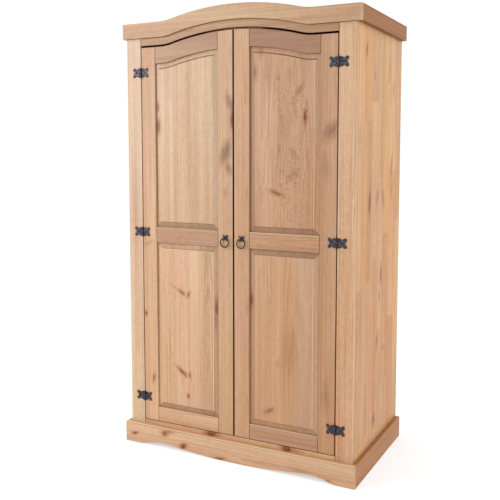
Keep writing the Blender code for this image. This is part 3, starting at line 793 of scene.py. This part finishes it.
# Knots and smudges as (x or y, z, half width, half length, angle, heart, smudge) in the row
# frame. Heart and smudge say how strong each is.
KNOTS = {
    "bottom_front_rail": [
        (-0.106, 0.099, 0.014, 0.024, 20, 1.0, 0.9), (0.237, 0.098, 0.013, 0.019, -15, 1.0, 0.9),
        (0.285, 0.096, 0.010, 0.030, 0, 0.0, 0.5)],
    "plinth_front": [
        (-0.482, 0.040, 0.0045, 0.012, 12, 1.0, 0.4), (-0.326, 0.066, 0.012, 0.015, 30, 0.55, 0.8),
        (-0.300, 0.074, 0.007, 0.024, 8, 0.2, 0.7), (-0.233, 0.026, 0.009, 0.013, 30, 1.0, 0.7),
        (-0.060, 0.006, 0.006, 0.026, 8, 0.6, 0.5), (0.421, 0.012, 0.008, 0.013, 0, 0.2, 0.6),
        (0.300, 0.030, 0.012, 0.040, 0, 0.0, 0.4)],
    "side_panel": [
        (-0.168, 1.649, 0.012, 0.026, 10, 0.35, 0.8), (-0.066, 1.563, 0.006, 0.012, 0, 0.4, 0.6),
        (-0.026, 0.183, 0.012, 0.022, 0, 0.85, 0.7), (0.001, 0.500, 0.010, 0.016, 0, 0.45, 0.6),
        (0.085, 0.453, 0.008, 0.012, 0, 0.4, 0.5), (0.189, 1.528, 0.008, 0.020, 0, 0.35, 0.5),
        (-0.116, 1.068, 0.010, 0.026, 4, 1.0, 0.4), (0.170, 1.205, 0.015, 0.050, 14, 0.28, 0.5),
        (-0.014, 1.090, 0.013, 0.040, 16, 0.28, 0.4), (0.045, 0.765, 0.009, 0.028, 0, 0.95, 0.3),
        (0.062, 1.080, 0.013, 0.036, -14, 0.24, 0.4), (0.178, 1.112, 0.012, 0.042, 10, 0.20, 0.4),
        (0.030, 0.680, 0.010, 0.018, 0, 0.35, 0.6)],
    "left_door_hinge_stile": [
        (-0.428, 0.575, 0.0045, 0.008, 0, 1.0, 0.5), (-0.391, 0.297, 0.006, 0.016, 12, 0.5, 0.5),
        (-0.410, 0.880, 0.010, 0.030, 60, 0.0, 0.45)],
    "right_door_hinge_stile": [
        (0.398, 0.333, 0.018, 0.060, 0, 0.0, 0.45), (0.412, 1.345, 0.028, 0.044, 35, 0.0, 0.9),
        (0.395, 1.205, 0.022, 0.055, -10, 0.0, 0.35)],
    "left_door_meeting_stile": [
        (-0.016, 1.462, 0.018, 0.036, -25, 0.0, 0.95), (-0.006, 1.393, 0.007, 0.030, 0, 0.75, 1.0),
        (-0.036, 1.262, 0.024, 0.050, 18, 0.0, 1.2), (-0.022, 1.200, 0.016, 0.028, -30, 0.0, 0.8),
        (-0.036, 1.100, 0.012, 0.022, 0, 0.0, 0.4)],
    "left_door_upper_panel": [
        (-0.360, 1.452, 0.008, 0.020, 0, 0.35, 0.8), (-0.358, 1.372, 0.011, 0.028, 0, 0.55, 0.9)],
    "left_door_lower_panel": [
        (-0.248, 0.681, 0.0055, 0.018, -58, 0.55, 0.5),
        (-0.219, 0.673, 0.0055, 0.011, 40, 0.8, 0.4), (-0.278, 0.700, 0.006, 0.026, -62, 0.0, 0.5),
        (-0.246, 0.340, 0.0065, 0.022, -52, 0.75, 0.6), (-0.217, 0.329, 0.005, 0.009, 30, 1.0, 0.4),
        (-0.272, 0.365, 0.005, 0.026, -55, 0.0, 0.5), (-0.219, 0.240, 0.0045, 0.007, 0, 1.0, 0.3),
        (-0.082, 0.628, 0.007, 0.028, 0, 0.6, 0.8), (-0.085, 0.560, 0.006, 0.040, 0, 0.0, 0.6)],
    "right_door_upper_panel": [
        (0.281, 1.497, 0.012, 0.026, 30, 0.15, 0.6), (0.306, 1.400, 0.0055, 0.016, 0, 1.0, 0.5),
        (0.306, 1.362, 0.004, 0.030, 0, 0.0, 0.5), (0.094, 1.575, 0.008, 0.020, 0, 0.5, 0.7),
        (0.120, 1.655, 0.010, 0.020, 0, 0.2, 0.5), (0.250, 1.560, 0.026, 0.060, 15, 0.0, 0.38),
        (0.262, 1.440, 0.010, 0.060, -12, 0.0, 0.4), (0.240, 1.360, 0.012, 0.080, 14, 0.0, 0.35),
        (0.258, 1.262, 0.014, 0.036, -35, 0.0, 0.5), (0.252, 1.176, 0.020, 0.034, 35, 0.0, 0.55),
        (0.190, 1.108, 0.007, 0.026, -70, 0.6, 0.2), (0.210, 1.300, 0.050, 0.160, 5, 0.0, 0.25),
        (0.160, 1.560, 0.040, 0.080, 0, 0.0, 0.2)],
    "right_door_lower_panel": [
        (0.160, 0.239, 0.009, 0.022, 60, 0.25, 0.7), (0.195, 0.435, 0.008, 0.018, 0, 0.0, 0.5),
        (0.079, 0.679, 0.008, 0.024, 0, 0.6, 0.9), (0.240, 0.480, 0.040, 0.120, 8, 0.0, 0.28),
        (0.285, 0.640, 0.020, 0.080, -8, 0.0, 0.25)],
}
for side_name in SIDES:
    KNOTS[side_name + "_side_panel"] = KNOTS["side_panel"]


# --- Boards ------------------------------------------------------------------------------
def wood_of(node, along, **looks):
    """Pine for one board that stands or lies in a vertical plane, with its own knots."""
    low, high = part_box(node)
    middle = (low + high) / 2
    level = 1 if high.x - low.x < high.y - low.y else 0
    knots = []
    for side, up, *rest in KNOTS.get(node, ()):
        place = [side - middle[level], up - middle.z]
        knots.append((*(place if along == "z" else place[::-1]), *rest))
    return pine("pine_" + node, knots, **looks)


def neighbours(node):
    """A search tree over every CAD node but this one."""
    verts, polygons = [], []
    for name, other in frame["nodes"].items():
        if name != node:
            base = len(verts)
            verts += [v.co.copy() for v in other.data.vertices]
            polygons += [[base + i for i in p.vertices] for p in other.data.polygons]
    return BVHTree.FromPolygons(verts, polygons)


def edge_values(node, bm, eased, painted_light_and_stain):
    """The value "edge" of each face: from the given function, painted shade in a gap, wax and
    painted shade in a joint, or wear and a painted highlight where free.
    """
    bm.faces.index_update()
    values = [painted_light_and_stain(face) if painted_light_and_stain else 0.0 for face in bm.faces]
    near = neighbours(node)
    # Faces that look into a gap get painted shade
    if node in GAP_BOARDS or "_door_" in node:
        for face in bm.faces:
            if abs(face.normal.y) < 0.3 and values[face.index] == 0.0:
                place = face.calc_center_median() + face.normal * 0.0001
                if near.ray_cast(place, face.normal, NEAR)[0] is not None:
                    values[face.index] = SOFT_GAPS.get(node, GAP_PAINTED_SHADE)
    for face in eased:
        if face.is_valid:
            distance = near.find_nearest(face.calc_center_median(), NEAR)[3]
            value = WEAR_AND_HIGHLIGHT
            if distance is not None:
                value = SOFT_JOINTS.get(node, TIGHT_JOINT if distance < TIGHT else NEAR_JOINT)
            # Upper front edges of some boards get a stronger painted highlight
            if face.normal.z > 0.3 and face.normal.y < -0.3:
                value = ARRIS_HIGHLIGHTS.get(node, value)
            values[face.index] = value
    return values


def board(node, bm, along, wood=PLAIN_PINE, eased=(), end_grain=1.0, painted_light_and_stain=None):
    """Finish a board and let it stand for its CAD node. The eased faces get wax and painted shade
    where another board is against them, and wear and a painted highlight where not. A function of a
    face gives its staining and painted light and shade."""
    chance = random.Random(node)
    seed = chance.randrange(1, 90) + 0.5
    low, high = extent(bm)
    size, middle = high - low, (low + high) / 2
    run = "xyz".index(along)
    deep, wide = sorted((axis for axis in range(3) if axis != run), key=lambda axis: size[axis])
    edges = edge_values(node, bm, eased, painted_light_and_stain)

    shade = Vector(colour(BOARD_TINTS.get(node, INNER_TINT))[:3]) * chance.uniform(0.96, 1.04)
    drifts = BOARD_DRIFTS.get(node, TINT_DRIFT if node in BOARD_TINTS else (0, 0, 0))
    piece = to_object(node + "_board", bm, wood)
    mesh = piece.data
    for name in ("grain", "board", "tint"):
        mesh.attributes.new(name, "FLOAT_VECTOR", "CORNER")
    grain, facts, tints = (mesh.attributes[name] for name in ("grain", "board", "tint"))
    for polygon in mesh.polygons:
        across_grain = abs(polygon.normal[run]) * end_grain
        for loop in polygon.loop_indices:
            point = mesh.vertices[mesh.loops[loop].vertex_index].co - middle
            grain.data[loop].vector = (point[wide], point[deep], point[run])
            facts.data[loop].vector = (seed, across_grain, edges[polygon.index])
            rise = (point[2] + middle.z) / CORNICE_TOP
            tints.data[loop].vector = [part * (1.0 + drift * (0.5 - rise))
                                       for part, drift in zip(shade, drifts)]
    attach(piece, body_of(node))
    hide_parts(node)


def plain_board(node, along, wood=PLAIN_PINE, width=EASE):
    """A board whose CAD shape is right: the same shape with its edges eased."""
    bm = copy_of(node)
    eased = ease(bm, outer_edges(bm), width)
    board(node, bm, along, wood, eased)


def arched_board(node, stations, profile, painted_light_and_stain=None):
    """A board along X with a (y, z) profile that changes on the way."""
    bm = lofted([at_x(x, profile(x)) for x in stations])
    eased = ease(bm, convex_edges(bm))
    board(node, bm, "x", eased=eased, painted_light_and_stain=painted_light_and_stain)


def face_frame():
    """The front stiles, and the arched rail and the bottom rail between them."""
    plain_board("left_front_stile", "z")
    plain_board("right_front_stile", "z", LIVELY_PINE)
    plain_board("bottom_front_rail", "x", wood_of("bottom_front_rail", "x"))
    low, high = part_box("arched_top_rail")
    lap_depth = CORNICE_HIGH.y + GAP

    def profile(x):
        lift = arch_lift(x, OPENING_RISE)
        under, line = OPENING_TOP + lift, CORNICE_BOTTOM - GAP + lift
        top = CORNICE_TOP - LAP_HEIGHT + arch_lift(x, CORNICE_RISE)
        return [(FRONT, under), (FRONT, line), (lap_depth, line), (lap_depth, top),
                (FRAME_BACK, top), (FRAME_BACK, under)]

    arched_board("arched_top_rail", arch_stations(low.x, high.x), profile)


def cornice():
    """The arched front board with its corners cut off, and the side boards."""
    half = CORNICE_HIGH.x
    shoulder = half - CORNICE_CHAMFER

    def profile(x):
        front = CORNICE_LOW.y + max(0.0, abs(x) - shoulder)
        under = CORNICE_BOTTOM + arch_lift(x, OPENING_RISE)
        top = CORNICE_TOP + arch_lift(x, CORNICE_RISE)
        return [(front, under), (front, top), (CORNICE_HIGH.y, top), (CORNICE_HIGH.y, under)]

    # The cut-off corners of the front board get a painted highlight
    def chamfer_highlight(face):
        return 1.15 if 0.5 < abs(face.normal.x) < 0.9 else 0.0

    stations = [-half] + arch_stations(-shoulder, shoulder) + [half]
    arched_board("cornice_front", stations, profile, chamfer_highlight)
    for side in SIDES:
        plain_board("cornice_" + side, "y", DULL_PINE)


def plinth():
    """The front board has a fine quirk under its top edge, the side boards a small round."""
    low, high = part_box("plinth_front")
    shoulder = high.x - PLINTH_BEVEL
    moulding = [(0.0, 0.0070), (0.0007, 0.0062), (0.0018, 0.0058), (0.0018, 0.0046),
                (0.0007, 0.0040), (0.0003, 0.0028), (0.0010, 0.0010), (0.0026, 0.0)]
    moulding_height, quirk_top, quirk_bottom = 0.0072, 0.0042, 0.0062

    def profile(x):
        top, under = high.z - max(0.0, abs(x) - shoulder), plinth_height(x)
        return [(low.y, under), *((low.y + deep, top - down) for deep, down in moulding),
                (high.y, top), (high.y, under)]

    def quirk_shade_and_highlights(face):
        """Painted shade in the quirk, and painted highlights on the arrises beside it."""
        down = high.z - face.calc_center_median().z
        outside = not 0.0001 < down < moulding_height
        if abs(face.normal.x) > 0.5 or face.normal.y > 0.1 or outside:
            return 0.0
        return -0.9 if quirk_top < down < quirk_bottom else 1.2

    inside = [shoulder * (2 * i / PLINTH_STATIONS - 1) for i in range(PLINTH_STATIONS + 1)]
    bm = lofted([at_x(x, profile(x)) for x in [-high.x] + inside + [high.x]], 30)
    eased = ease(bm, convex_edges(bm, 70), 0.0008)
    board("plinth_front", bm, "x", wood_of("plinth_front", "x"), eased, painted_light_and_stain=quirk_shade_and_highlights)

    for side, sign in SIDES.items():
        low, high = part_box("plinth_" + side)
        inner, outer = (low.x, high.x) if sign > 0 else (high.x, low.x)
        section = [(inner, 0.0), (outer, 0.0)]
        for i in range(6):
            angle = math.pi / 2 * i / 5
            section.append((outer - sign * PLINTH_BEVEL * (1 - math.cos(angle)),
                            high.z - PLINTH_BEVEL * (1 - math.sin(angle))))
        bm = lofted([at_y(y, section + [(inner, high.z)]) for y in (low.y, high.y)])
        eased = ease(bm, convex_edges(bm), 0.0012)
        board("plinth_" + side, bm, "y", DULL_PINE, eased)


def carcass_panels():
    """The staved sides, base, top and shelf, and what closes the back."""
    for side in SIDES:
        node = side + "_side_panel"
        wood = wood_of(node, "z", stave=STAVE_WIDTH, block=BLOCK_LENGTH, contrast=0.30,
                       figure=1.45)
        plain_board(node, "z", wood)
    for node in ("base_panel", "top_panel", "hat_shelf"):
        plain_board(node, "x", STAVED_PINE)
    for node in ("top_back_rail", "bottom_back_rail"):
        plain_board(node, "x")
    plain_board("back_muntin", "z")
    for side in SIDES:
        plain_board(side + "_back_sheet", "z", PLY, 0.0005)


def hanging_rail():
    """A round rail with softened ends, and the turned cups that hold it."""
    low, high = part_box("hanging_rail")
    radius = (high.z - low.z) / 2
    centre = Vector((0.0, (low.y + high.y) / 2, (low.z + high.z) / 2))
    half, soft = high.x, 0.0015
    profile = [(radius - soft, -half), (radius, -half + soft), (radius, half - soft),
               (radius - soft, half)]
    board("hanging_rail", turned(profile, centre, (1, 0, 0), 48), "x")
    for side, sign in SIDES.items():
        node = side + "_rail_socket"
        low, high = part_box(node)
        wall = high.x if sign > 0 else low.x
        outer, bore, rim, hub = (high.z - low.z) / 2, radius + GAP, SOCKET_DEPTH, 0.0005
        profile = [(hub, SOCKET_FLOOR), (bore, SOCKET_FLOOR), (bore, rim - 0.0008),
                   (bore + 0.0008, rim), (outer - 0.0052, rim), (outer - 0.0036, rim - 0.0012),
                   (outer - 0.0028, rim - 0.0035), (outer - 0.0022, 0.0042),
                   (outer - 0.0006, 0.0026), (outer, 0.0014), (outer, 0.0), (hub, 0.0)]
        cup = turned(profile, (wall, centre.y, centre.z), (-sign, 0, 0), 48, 50, NEARLY)
        board(node, cup, "x", end_grain=0.5)


# --- Doors -------------------------------------------------------------------------------
def raised_panel(side, level, wood):
    """A fielded panel, cut as it is made: a thick blank with four borders planed off its face.
    The borders across the grain end in a small step at the field."""
    node = f"{side}_door_{level}_panel"
    low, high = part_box(node)
    field, bottom = low.y, low.z + TONGUE_DEPTH
    arched = level == "upper"
    flat_top = RAIL_UNDERSIDE if arched else high.z - TONGUE_DEPTH
    stations = arch_stations(low.x, high.x) if arched else [low.x, high.x]

    def lift(x):
        return arch_lift(x, OPENING_RISE) if arched else 0.0

    def outline(x):
        top = flat_top + TONGUE_DEPTH + lift(x)
        return [(field, low.z), (field, top), (high.y, top), (high.y, low.z)]

    def border(*slope):
        """Section of a cutter from the field to the tongue, with the points of its slope given
        as (distance from the rail, depth under the field)."""
        foot, past = FIELD_RAISE - 0.0001, -0.03
        section = [(FIELD_BORDER + ARRIS_WIDTH, -CUTTER_HEIGHT), (FIELD_BORDER + ARRIS_WIDTH, 0.0),
                   (FIELD_BORDER, 0.0004), *slope, (0.0, foot), (past, foot),
                   (past, -CUTTER_HEIGHT)]
        return [(distance, field + depth) for distance, depth in section]

    plain = border((FIELD_BORDER - 0.0006, 0.0009), (0.012, 0.0042))
    stepped = border((FIELD_BORDER - 0.0005, 0.0020), (QUIRK_FOOT, 0.0026), (0.012, 0.0048))
    quirked = border((0.0235, 0.0036), (0.0222, 0.0042), (0.0185, 0.0025), (0.0160, 0.0022),
                     (0.0080, 0.0046)) if arched else stepped
    uprights = (low.z - CUTTER_REACH, high.z + CUTTER_REACH)
    ends = [low.x - CUTTER_REACH, high.x + CUTTER_REACH]
    cutters = [[[Vector((edge_x + inward * d, y, z)) for d, y in plain] for z in uprights]
               for edge_x, inward in ((low.x + TONGUE_DEPTH, 1), (high.x - TONGUE_DEPTH, -1))]
    cutters.append([at_x(x, [(y, bottom + d) for d, y in stepped]) for x in ends])
    cutters.append([at_x(x, [(y, flat_top + lift(x) - d) for d, y in quirked])
                    for x in ends[:1] + stations[1:-1] + ends[1:]])
    blank = lofted([at_x(x, outline(x)) for x in stations], None)
    bm = subtract(node, blank, [lofted(rings, None) for rings in cutters])
    smooth_curves(bm, 20)
    shades = BORDER_SHADES[side, level]

    def painted_light_and_stain(face):
        """Painted shade on a border by the way that it slopes, partly staining, and painted
        highlights on the field's soft edges.
        """
        normal, centre = face.normal, face.calc_center_median()
        if normal.y > -0.2 or normal.y < -0.9995:
            return 0.0
        # The field's soft edges get a painted highlight
        if centre.y < field + 0.0005:
            facing = "right" if normal.x > 0.1 else "top" if normal.z > 0.1 else ""
            return ARRIS_LIGHT.get((side, level, facing), 0.0)
        if abs(normal.x) > abs(normal.z):
            return shades[0] if normal.x < 0 else shades[1]
        above = centre.z > (low.z + high.z) / 2
        from_rail = flat_top + lift(centre.x) - centre.z if above else centre.z - bottom
        # Painted shade on the quirk's slope beside the field
        if from_rail > (ARCH_QUIRK_FOOT if above and arched else QUIRK_FOOT):
            return QUIRK_PAINTED_SHADE
        return shades[2] if above else shades[3]

    board(node, bm, "z", wood, painted_light_and_stain=painted_light_and_stain)


def door(side):
    """Two stiles, three rails and two panels. The top rail is arched and has a groove."""
    prefix = side + "_door_"
    for part in ("hinge_stile", "meeting_stile"):
        plain_board(prefix + part, "z", wood_of(prefix + part, "z"))
    for part in ("mid_rail", "bottom_rail"):
        plain_board(prefix + part, "x")

    low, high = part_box(prefix + "top_rail")
    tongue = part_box(prefix + "upper_panel")[0].y + FIELD_RAISE
    groove = (tongue - GAP, tongue + TONGUE_THICKNESS + GAP)

    def profile(x):
        lift = arch_lift(x, OPENING_RISE)
        under, top = RAIL_UNDERSIDE + lift, DOOR_TOP + lift
        roof = under + GROOVE_DEPTH
        return [(FRONT, under), (FRONT, top), (FRAME_BACK, top), (FRAME_BACK, under),
                (groove[1], under), (groove[1], roof), (groove[0], roof), (groove[0], under)]

    bm = lofted([at_x(x, profile(x)) for x in arch_stations(low.x, high.x)])
    edges = [e for e in convex_edges(bm)
             if not all(groove[0] - NEARLY < v.co.y < groove[1] + NEARLY for v in e.verts)]
    board(prefix + "top_rail", bm, "x", eased=ease(bm, edges))

    for level in ("upper", "lower"):
        curl = PANEL_CURL.get((side, level), 0.0)
        wood = wood_of(f"{prefix}{level}_panel", "z", stave=PANEL_STAVE, contrast=0.20, curl=curl)
        raised_panel(side, level, wood)


# --- Hinges ------------------------------------------------------------------------------
LEAF_HALF_OUTLINE = [      # upper half of a frame leaf from its belly to its round ear, (x, z)
    (LEAF_INNER, 0.0180), (0.0090, 0.0180), (0.0122, 0.0180), (0.0148, 0.0176), (0.0170, 0.0168),
    (0.0188, 0.0156), (0.0204, 0.0142), (0.0218, 0.0128), (0.0231, 0.0122), (0.0243, 0.0127),
    (0.0254, 0.0142), (0.0265, 0.0162), (0.0281, 0.0179), (0.0302, 0.0190), (0.0326, 0.0194),
    (0.0350, 0.0193), (0.0374, 0.0184), (0.0393, 0.0168), (0.0403, 0.0147), (0.0405, 0.0124),
    (0.0399, 0.0102), (0.0386, 0.0082), (0.0368, 0.0063), (0.0352, 0.0045), (0.0343, 0.0023),
    (0.0340, 0.0),
]
DOOR_LEAF_SHARE = 0.85     # the door leaf's length as a share of the frame leaf's
SCREW_X, SCREW_RADIUS, SCREW_HEIGHT = 0.0212, 0.0034, 0.0014


def metal(name, bm, body, finish, node=None):
    """Let a metal or plastic piece ride on a body, and stand for its CAD node if it has one."""
    piece = to_object(name, bm, finish)
    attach(piece, body)
    if node:
        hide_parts(node)


def smooth_blob(bm, centre, size, turn=0.0):
    """A low rounded swelling, as an ellipsoid set into the plate and turned in its plane."""
    matrix = (Matrix.Translation(centre) @ Matrix.Rotation(turn, 4, "Y")
              @ Matrix.Diagonal((*size, 1.0)))
    made = bmesh.ops.create_uvsphere(bm, u_segments=20, v_segments=10, radius=1.0, matrix=matrix)
    for vert in made["verts"]:
        shade_smooth(vert.link_faces)


def arc(radius, degrees):
    """Points on a circle about the pin's axis, from angles that start at +X and go to the back."""
    return [(radius * math.cos(math.radians(a)), -radius * math.sin(math.radians(a)))
            for a in degrees]


def knuckle(bm, low, high):
    """A rolled knuckle: an open barrel whose back runs out into the plate."""
    first = -math.degrees(math.asin(LEAF_FRONT / BARREL_RADIUS))
    degrees = [first + (270 - first) * i / 25 for i in range(26)]
    tail, soft, shrink = 0.0070, 0.0004, 0.92
    outer = arc(BARREL_RADIUS, degrees) + [(0.0045, BARREL_RADIUS), (tail, BARREL_RADIUS),
                                           (tail, LEAF_FRONT + 0.0002)]
    inner = arc(PIN_BORE, degrees + [290, 308, 322])
    rows = [[Vector((x * scale, y * scale, z)) for x, y in outer] for z, scale in
            ((low, shrink), (low + soft, 1.0), (high - soft, 1.0), (high, shrink))]
    rows += [[Vector((x, y, z)) for x, y in inner] for z in (high, low)]
    shade_smooth(loft(bm, rows + rows[:1], closed_ends=False))


def along_leaf(x, share):
    """A place along the frame leaf, moved to where it is on a shorter leaf."""
    return LEAF_INNER + (x - LEAF_INNER) * share


def leaf(knuckles, share):
    """A butterfly hinge leaf that reaches to +X of its axis, embossed and rounded."""
    half = [(along_leaf(x, share), z) for x, z in LEAF_HALF_OUTLINE]
    outline = half[::-1] + [(x, -z) for x, z in half[:-1]]
    bm = lofted([at_y(y, outline) for y in (LEAF_FRONT, BARREL_RADIUS)], 45)
    ease(bm, front_edges(bm, LEAF_FRONT), 0.0007, 3)
    rim = LEAF_FRONT + 0.0001
    smooth_blob(bm, (along_leaf(0.0105, share), rim, 0.0), (0.0048, 0.0009, 0.0155))
    for end in (-1, 1):
        neck = (along_leaf(0.0285, share), rim, end * 0.0085)
        ear = (along_leaf(0.0338, share), rim, end * 0.0136)
        smooth_blob(bm, neck, (0.0070, 0.0008, 0.0022), end * -0.85)
        smooth_blob(bm, ear, (0.0052, 0.0010, 0.0044))
    for low, high in knuckles:
        knuckle(bm, low, high)
    local = bm.verts.layers.float_vector.new("leaf")
    for vert in bm.verts:
        vert[local] = vert.co
    outward(bm, METAL_WELD)
    return bm


def screw(place):
    """A domed screw head with a cross recess, facing -Y."""
    rim, dome, steps = 0.30, 0.70, 5.5
    profile = [(SCREW_RADIUS, 0.0), (SCREW_RADIUS, SCREW_HEIGHT * rim)]
    for i in range(1, 6):
        angle = math.pi / 2 * i / steps
        profile.append((SCREW_RADIUS * math.cos(angle),
                        SCREW_HEIGHT * (rim + dome * math.sin(angle))))
    head = bmesh.new()
    lathe(head, profile, (0, 0, 0), (0, 0, 1), 24)
    outward(head)
    long, short = SCREW_RADIUS * 0.55, SCREW_RADIUS * 0.13
    slots = []
    for x, y in ((long, short), (short, long)):
        slot = bmesh.new()
        block(slot, (-x, -y, SCREW_HEIGHT * 0.55), (x, y, SCREW_HEIGHT * 2))
        slots.append(slot)
    head = subtract("screw", head, slots)
    smooth_curves(head, 40)
    turn = Matrix.Rotation(math.pi / 2, 4, "X")
    bmesh.ops.transform(head, matrix=Matrix.Translation(place) @ turn, verts=head.verts)
    return head


def hinge_pin(prefix, low, high, axis):
    """The pin in a hinge's knuckles, with a domed head at both ends."""
    half = high.z - axis.z
    head, shank = (high.x - low.x) / 2, half - 0.0020
    profile = [(head * 0.35, -half), (head * 0.75, -half + 0.0004), (head, -half + 0.0012),
               (head, -shank), (PIN_RADIUS, -shank)]
    profile += [(radius, -height) for radius, height in reversed(profile)]
    metal(prefix + "pin_turned", turned(profile, axis, (0, 0, 1), 24, 50), "carcass", IRON_WORN,
          prefix + "pin")


def hinges():
    """Three butterfly hinges a door: two leaves with a screw each, and a pin."""
    ends = [(-BARREL_HALF, -KNUCKLE_HALF - GAP), (KNUCKLE_HALF + GAP, BARREL_HALF)]
    frame_leaf = leaf(ends, 1.0)
    door_leaf = leaf([(-KNUCKLE_HALF, KNUCKLE_HALF)], DOOR_LEAF_SHARE)
    for side, sign in SIDES.items():
        for level in LEVELS:
            prefix = f"{side}_{level}_hinge_"
            low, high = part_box(prefix + "pin")
            axis = (low + high) / 2
            for kind, source, way, share in (("frame", frame_leaf, sign, 1.0),
                                             ("door", door_leaf, -sign, DOOR_LEAF_SHARE)):
                node = prefix + kind + "_leaf"
                turn = Matrix.Rotation(0.0 if way > 0 else math.pi, 4, "Y")
                bm = source.copy()
                bmesh.ops.transform(bm, matrix=Matrix.Translation(axis) @ turn, verts=bm.verts)
                metal(node + "_plate", bm, body_of(node), IRON, node)
                place = axis + Vector((way * along_leaf(SCREW_X, share), LEAF_FRONT, 0.0))
                metal(node + "_screw", screw(place), body_of(node), IRON_DARK)
            hinge_pin(prefix, low, high, axis)
    frame_leaf.free()
    door_leaf.free()


# --- Ring pulls --------------------------------------------------------------------------
def ring_pull(side):
    """A four-lobed plate with a domed boss and a looped eye, and the ring that hangs in it."""
    plate, ring = side + "_pull_plate", side + "_pull_ring"
    low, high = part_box(ring)
    centre = (low + high) / 2
    major = (high.z - low.z) / 2 - RING_WIRE
    plate_low, plate_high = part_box(plate)
    x, back = centre.x, plate_high.y
    front = back - 0.0020
    height = (plate_low.z + plate_high.z) / 2

    outline = []
    for angle in angles(72):
        radius = 0.0120 - 0.0048 * math.cos(4 * angle)
        outline.append((x + radius * math.cos(angle), height + radius * math.sin(angle)))
    bm = lofted([at_y(y, outline) for y in (front, back)], 40)
    ease(bm, front_edges(bm, front, 60), 0.0006, 3)
    lobe_reach = 0.0115
    for quarter in angles(4):
        angle = math.pi / 4 + quarter
        lobe = (x + lobe_reach * math.cos(angle), front, height + lobe_reach * math.sin(angle))
        smooth_blob(bm, lobe, (0.0040, 0.0009, 0.0028), -angle)
    dome = [(0.0086, -0.0008), (0.0086, 0.0006), (0.0080, 0.0012), (0.0066, 0.0019),
            (0.0045, 0.0025), (0.0020, 0.0028)]
    shade_smooth(lathe(bm, dome, (x, front, height), (0, -1, 0), 36))
    # The eye is a short loop of flat bar whose hole runs from side to side
    hoop(bm, Vector((x, centre.y, centre.z + major)), (0, 1, 0), (0, 0, 1), (1.6, 0, 0),
         EYE_RADIUS, lambda angle: EYE_WIRE, 28, 14)
    outward(bm, METAL_WELD)
    metal(plate + "_plate", bm, body_of(plate), IRON, plate)

    bm = bmesh.new()
    hoop(bm, centre, (1, 0, 0), (0, 0, 1), (0, 1, 0), major,
         lambda angle: RING_WIRE * (0.90 - 0.10 * math.sin(angle)), 72, 16)
    outward(bm, METAL_WELD)
    metal(ring + "_forged", bm, body_of(ring), IRON_BROWN, ring)


# --- Door catch --------------------------------------------------------------------------
def rooted(value):
    """The square root of a number's size, with the number's sign."""
    return math.copysign(abs(value) ** 0.5, value)


def door_catch():
    """A magnetic catch under the top panel, and a strike plate on each door's back."""
    low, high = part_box("door_catch")
    magnet_x, magnet_half, pole_offset, pole_half, margin = 0.016, 0.0027, 0.0035, 0.0008, 0.003
    bm = bmesh.new()
    block(bm, (low.x, low.y + 0.0012, low.z), high)
    ease(bm, convex_edges(bm), 0.0016, 3)
    for sign in SIDES.values():
        magnet = sign * magnet_x
        for x in (magnet - pole_offset, magnet + pole_offset):
            block(bm, (x - pole_half, low.y, low.z + margin),
                  (x + pole_half, low.y + 0.004, high.z - margin))
        block(bm, (magnet - magnet_half, low.y + 0.0008, low.z + 0.0034),
              (magnet + magnet_half, low.y + 0.003, high.z - 0.0034))
    metal("door_catch_housing", bm, "carcass", PLASTIC, "door_catch")

    plate_x, half_width, half_height = 0.018, 0.0105, 0.0055
    faces = (FRAME_BACK + 0.0001, FRAME_BACK + 0.0006)
    middle = (low.z + high.z) / 2
    for side, sign in SIDES.items():
        outline = [(sign * plate_x + half_width * rooted(math.cos(angle)),
                    middle + half_height * rooted(math.sin(angle))) for angle in angles(32)]
        bm = lofted([at_y(y, outline) for y in faces])
        metal(side + "_strike_plate", bm, side + "_door", STEEL)


# --- Floor, light and camera -------------------------------------------------------------
WHITE = (1.0, 1.0, 1.0, 1.0)
FLOOR_GLOW = 0.48          # the pale sweep is lit from below as well, so shadows stay light


def floor():
    """A wide pale sweep."""
    made, tree, shader = material("pale_floor")
    mottle = tree.noise(tree.wire("TexCoord", output="Object"), 3.0, scale=3.0)
    tree.connect(shader, {"Base Color": mottle.ramp((0.3, 0.52), (0.7, 0.54)),
                          "Emission Color": WHITE, "Emission Strength": FLOOR_GLOW,
                          "Roughness": 0.9, "Specular IOR Level": 0.1})
    bm = bmesh.new()
    bmesh.ops.create_grid(bm, x_segments=8, y_segments=8, size=30.0)
    to_object("floor", bm, made)


def area_light(name, place, target, size, power):
    """A soft rectangular light that points at a target."""
    data = bpy.data.lights.new(name, "AREA")
    data.shape = "RECTANGLE"
    data.size, data.size_y = size
    data.energy = power
    lamp = bpy.data.objects.new(name, data)
    lamp.location = place
    lamp.rotation_euler = (Vector(target) - Vector(place)).to_track_quat("-Z", "Y").to_euler()
    bpy.context.scene.collection.objects.link(lamp)


def studio():
    """White surroundings, a key light from the left front and a weaker one from the right."""
    scene = bpy.context.scene
    scene.view_settings.view_transform = "Standard"
    world = bpy.data.worlds.new("studio")
    world.use_nodes = True
    background = world.node_tree.nodes["Background"]
    background.inputs["Color"].default_value = WHITE
    background.inputs["Strength"].default_value = 1.04
    scene.world = world
    area_light("key", (-2.5, -2.4, 2.1), (-0.3, -0.2, 0.95), (2.0, 2.4), 78.0)
    area_light("side", (4.0, -0.2, 2.6), (0.5, 0.0, 1.1), (2.0, 2.0), 50.0)


def camera():
    """The photograph's viewing angle: a little above the middle, from the right of the front."""
    data = bpy.data.cameras.new("camera")
    data.sensor_width = 36.0
    data.lens = 52.95
    data.shift_y = -0.07
    made = bpy.data.objects.new("camera", data)
    made.location = (1.397, -2.851, 1.271)
    made.rotation_euler = (math.radians(90 - 4.98), 0.0, math.radians(27.22))
    bpy.context.scene.collection.objects.link(made)
    bpy.context.scene.camera = made


# --- The wardrobe ------------------------------------------------------------------------
face_frame()
cornice()
plinth()
carcass_panels()
hanging_rail()
for side_name in SIDES:
    door(side_name)
hinges()
for side_name in SIDES:
    ring_pull(side_name)
door_catch()
floor()
studio()
camera()
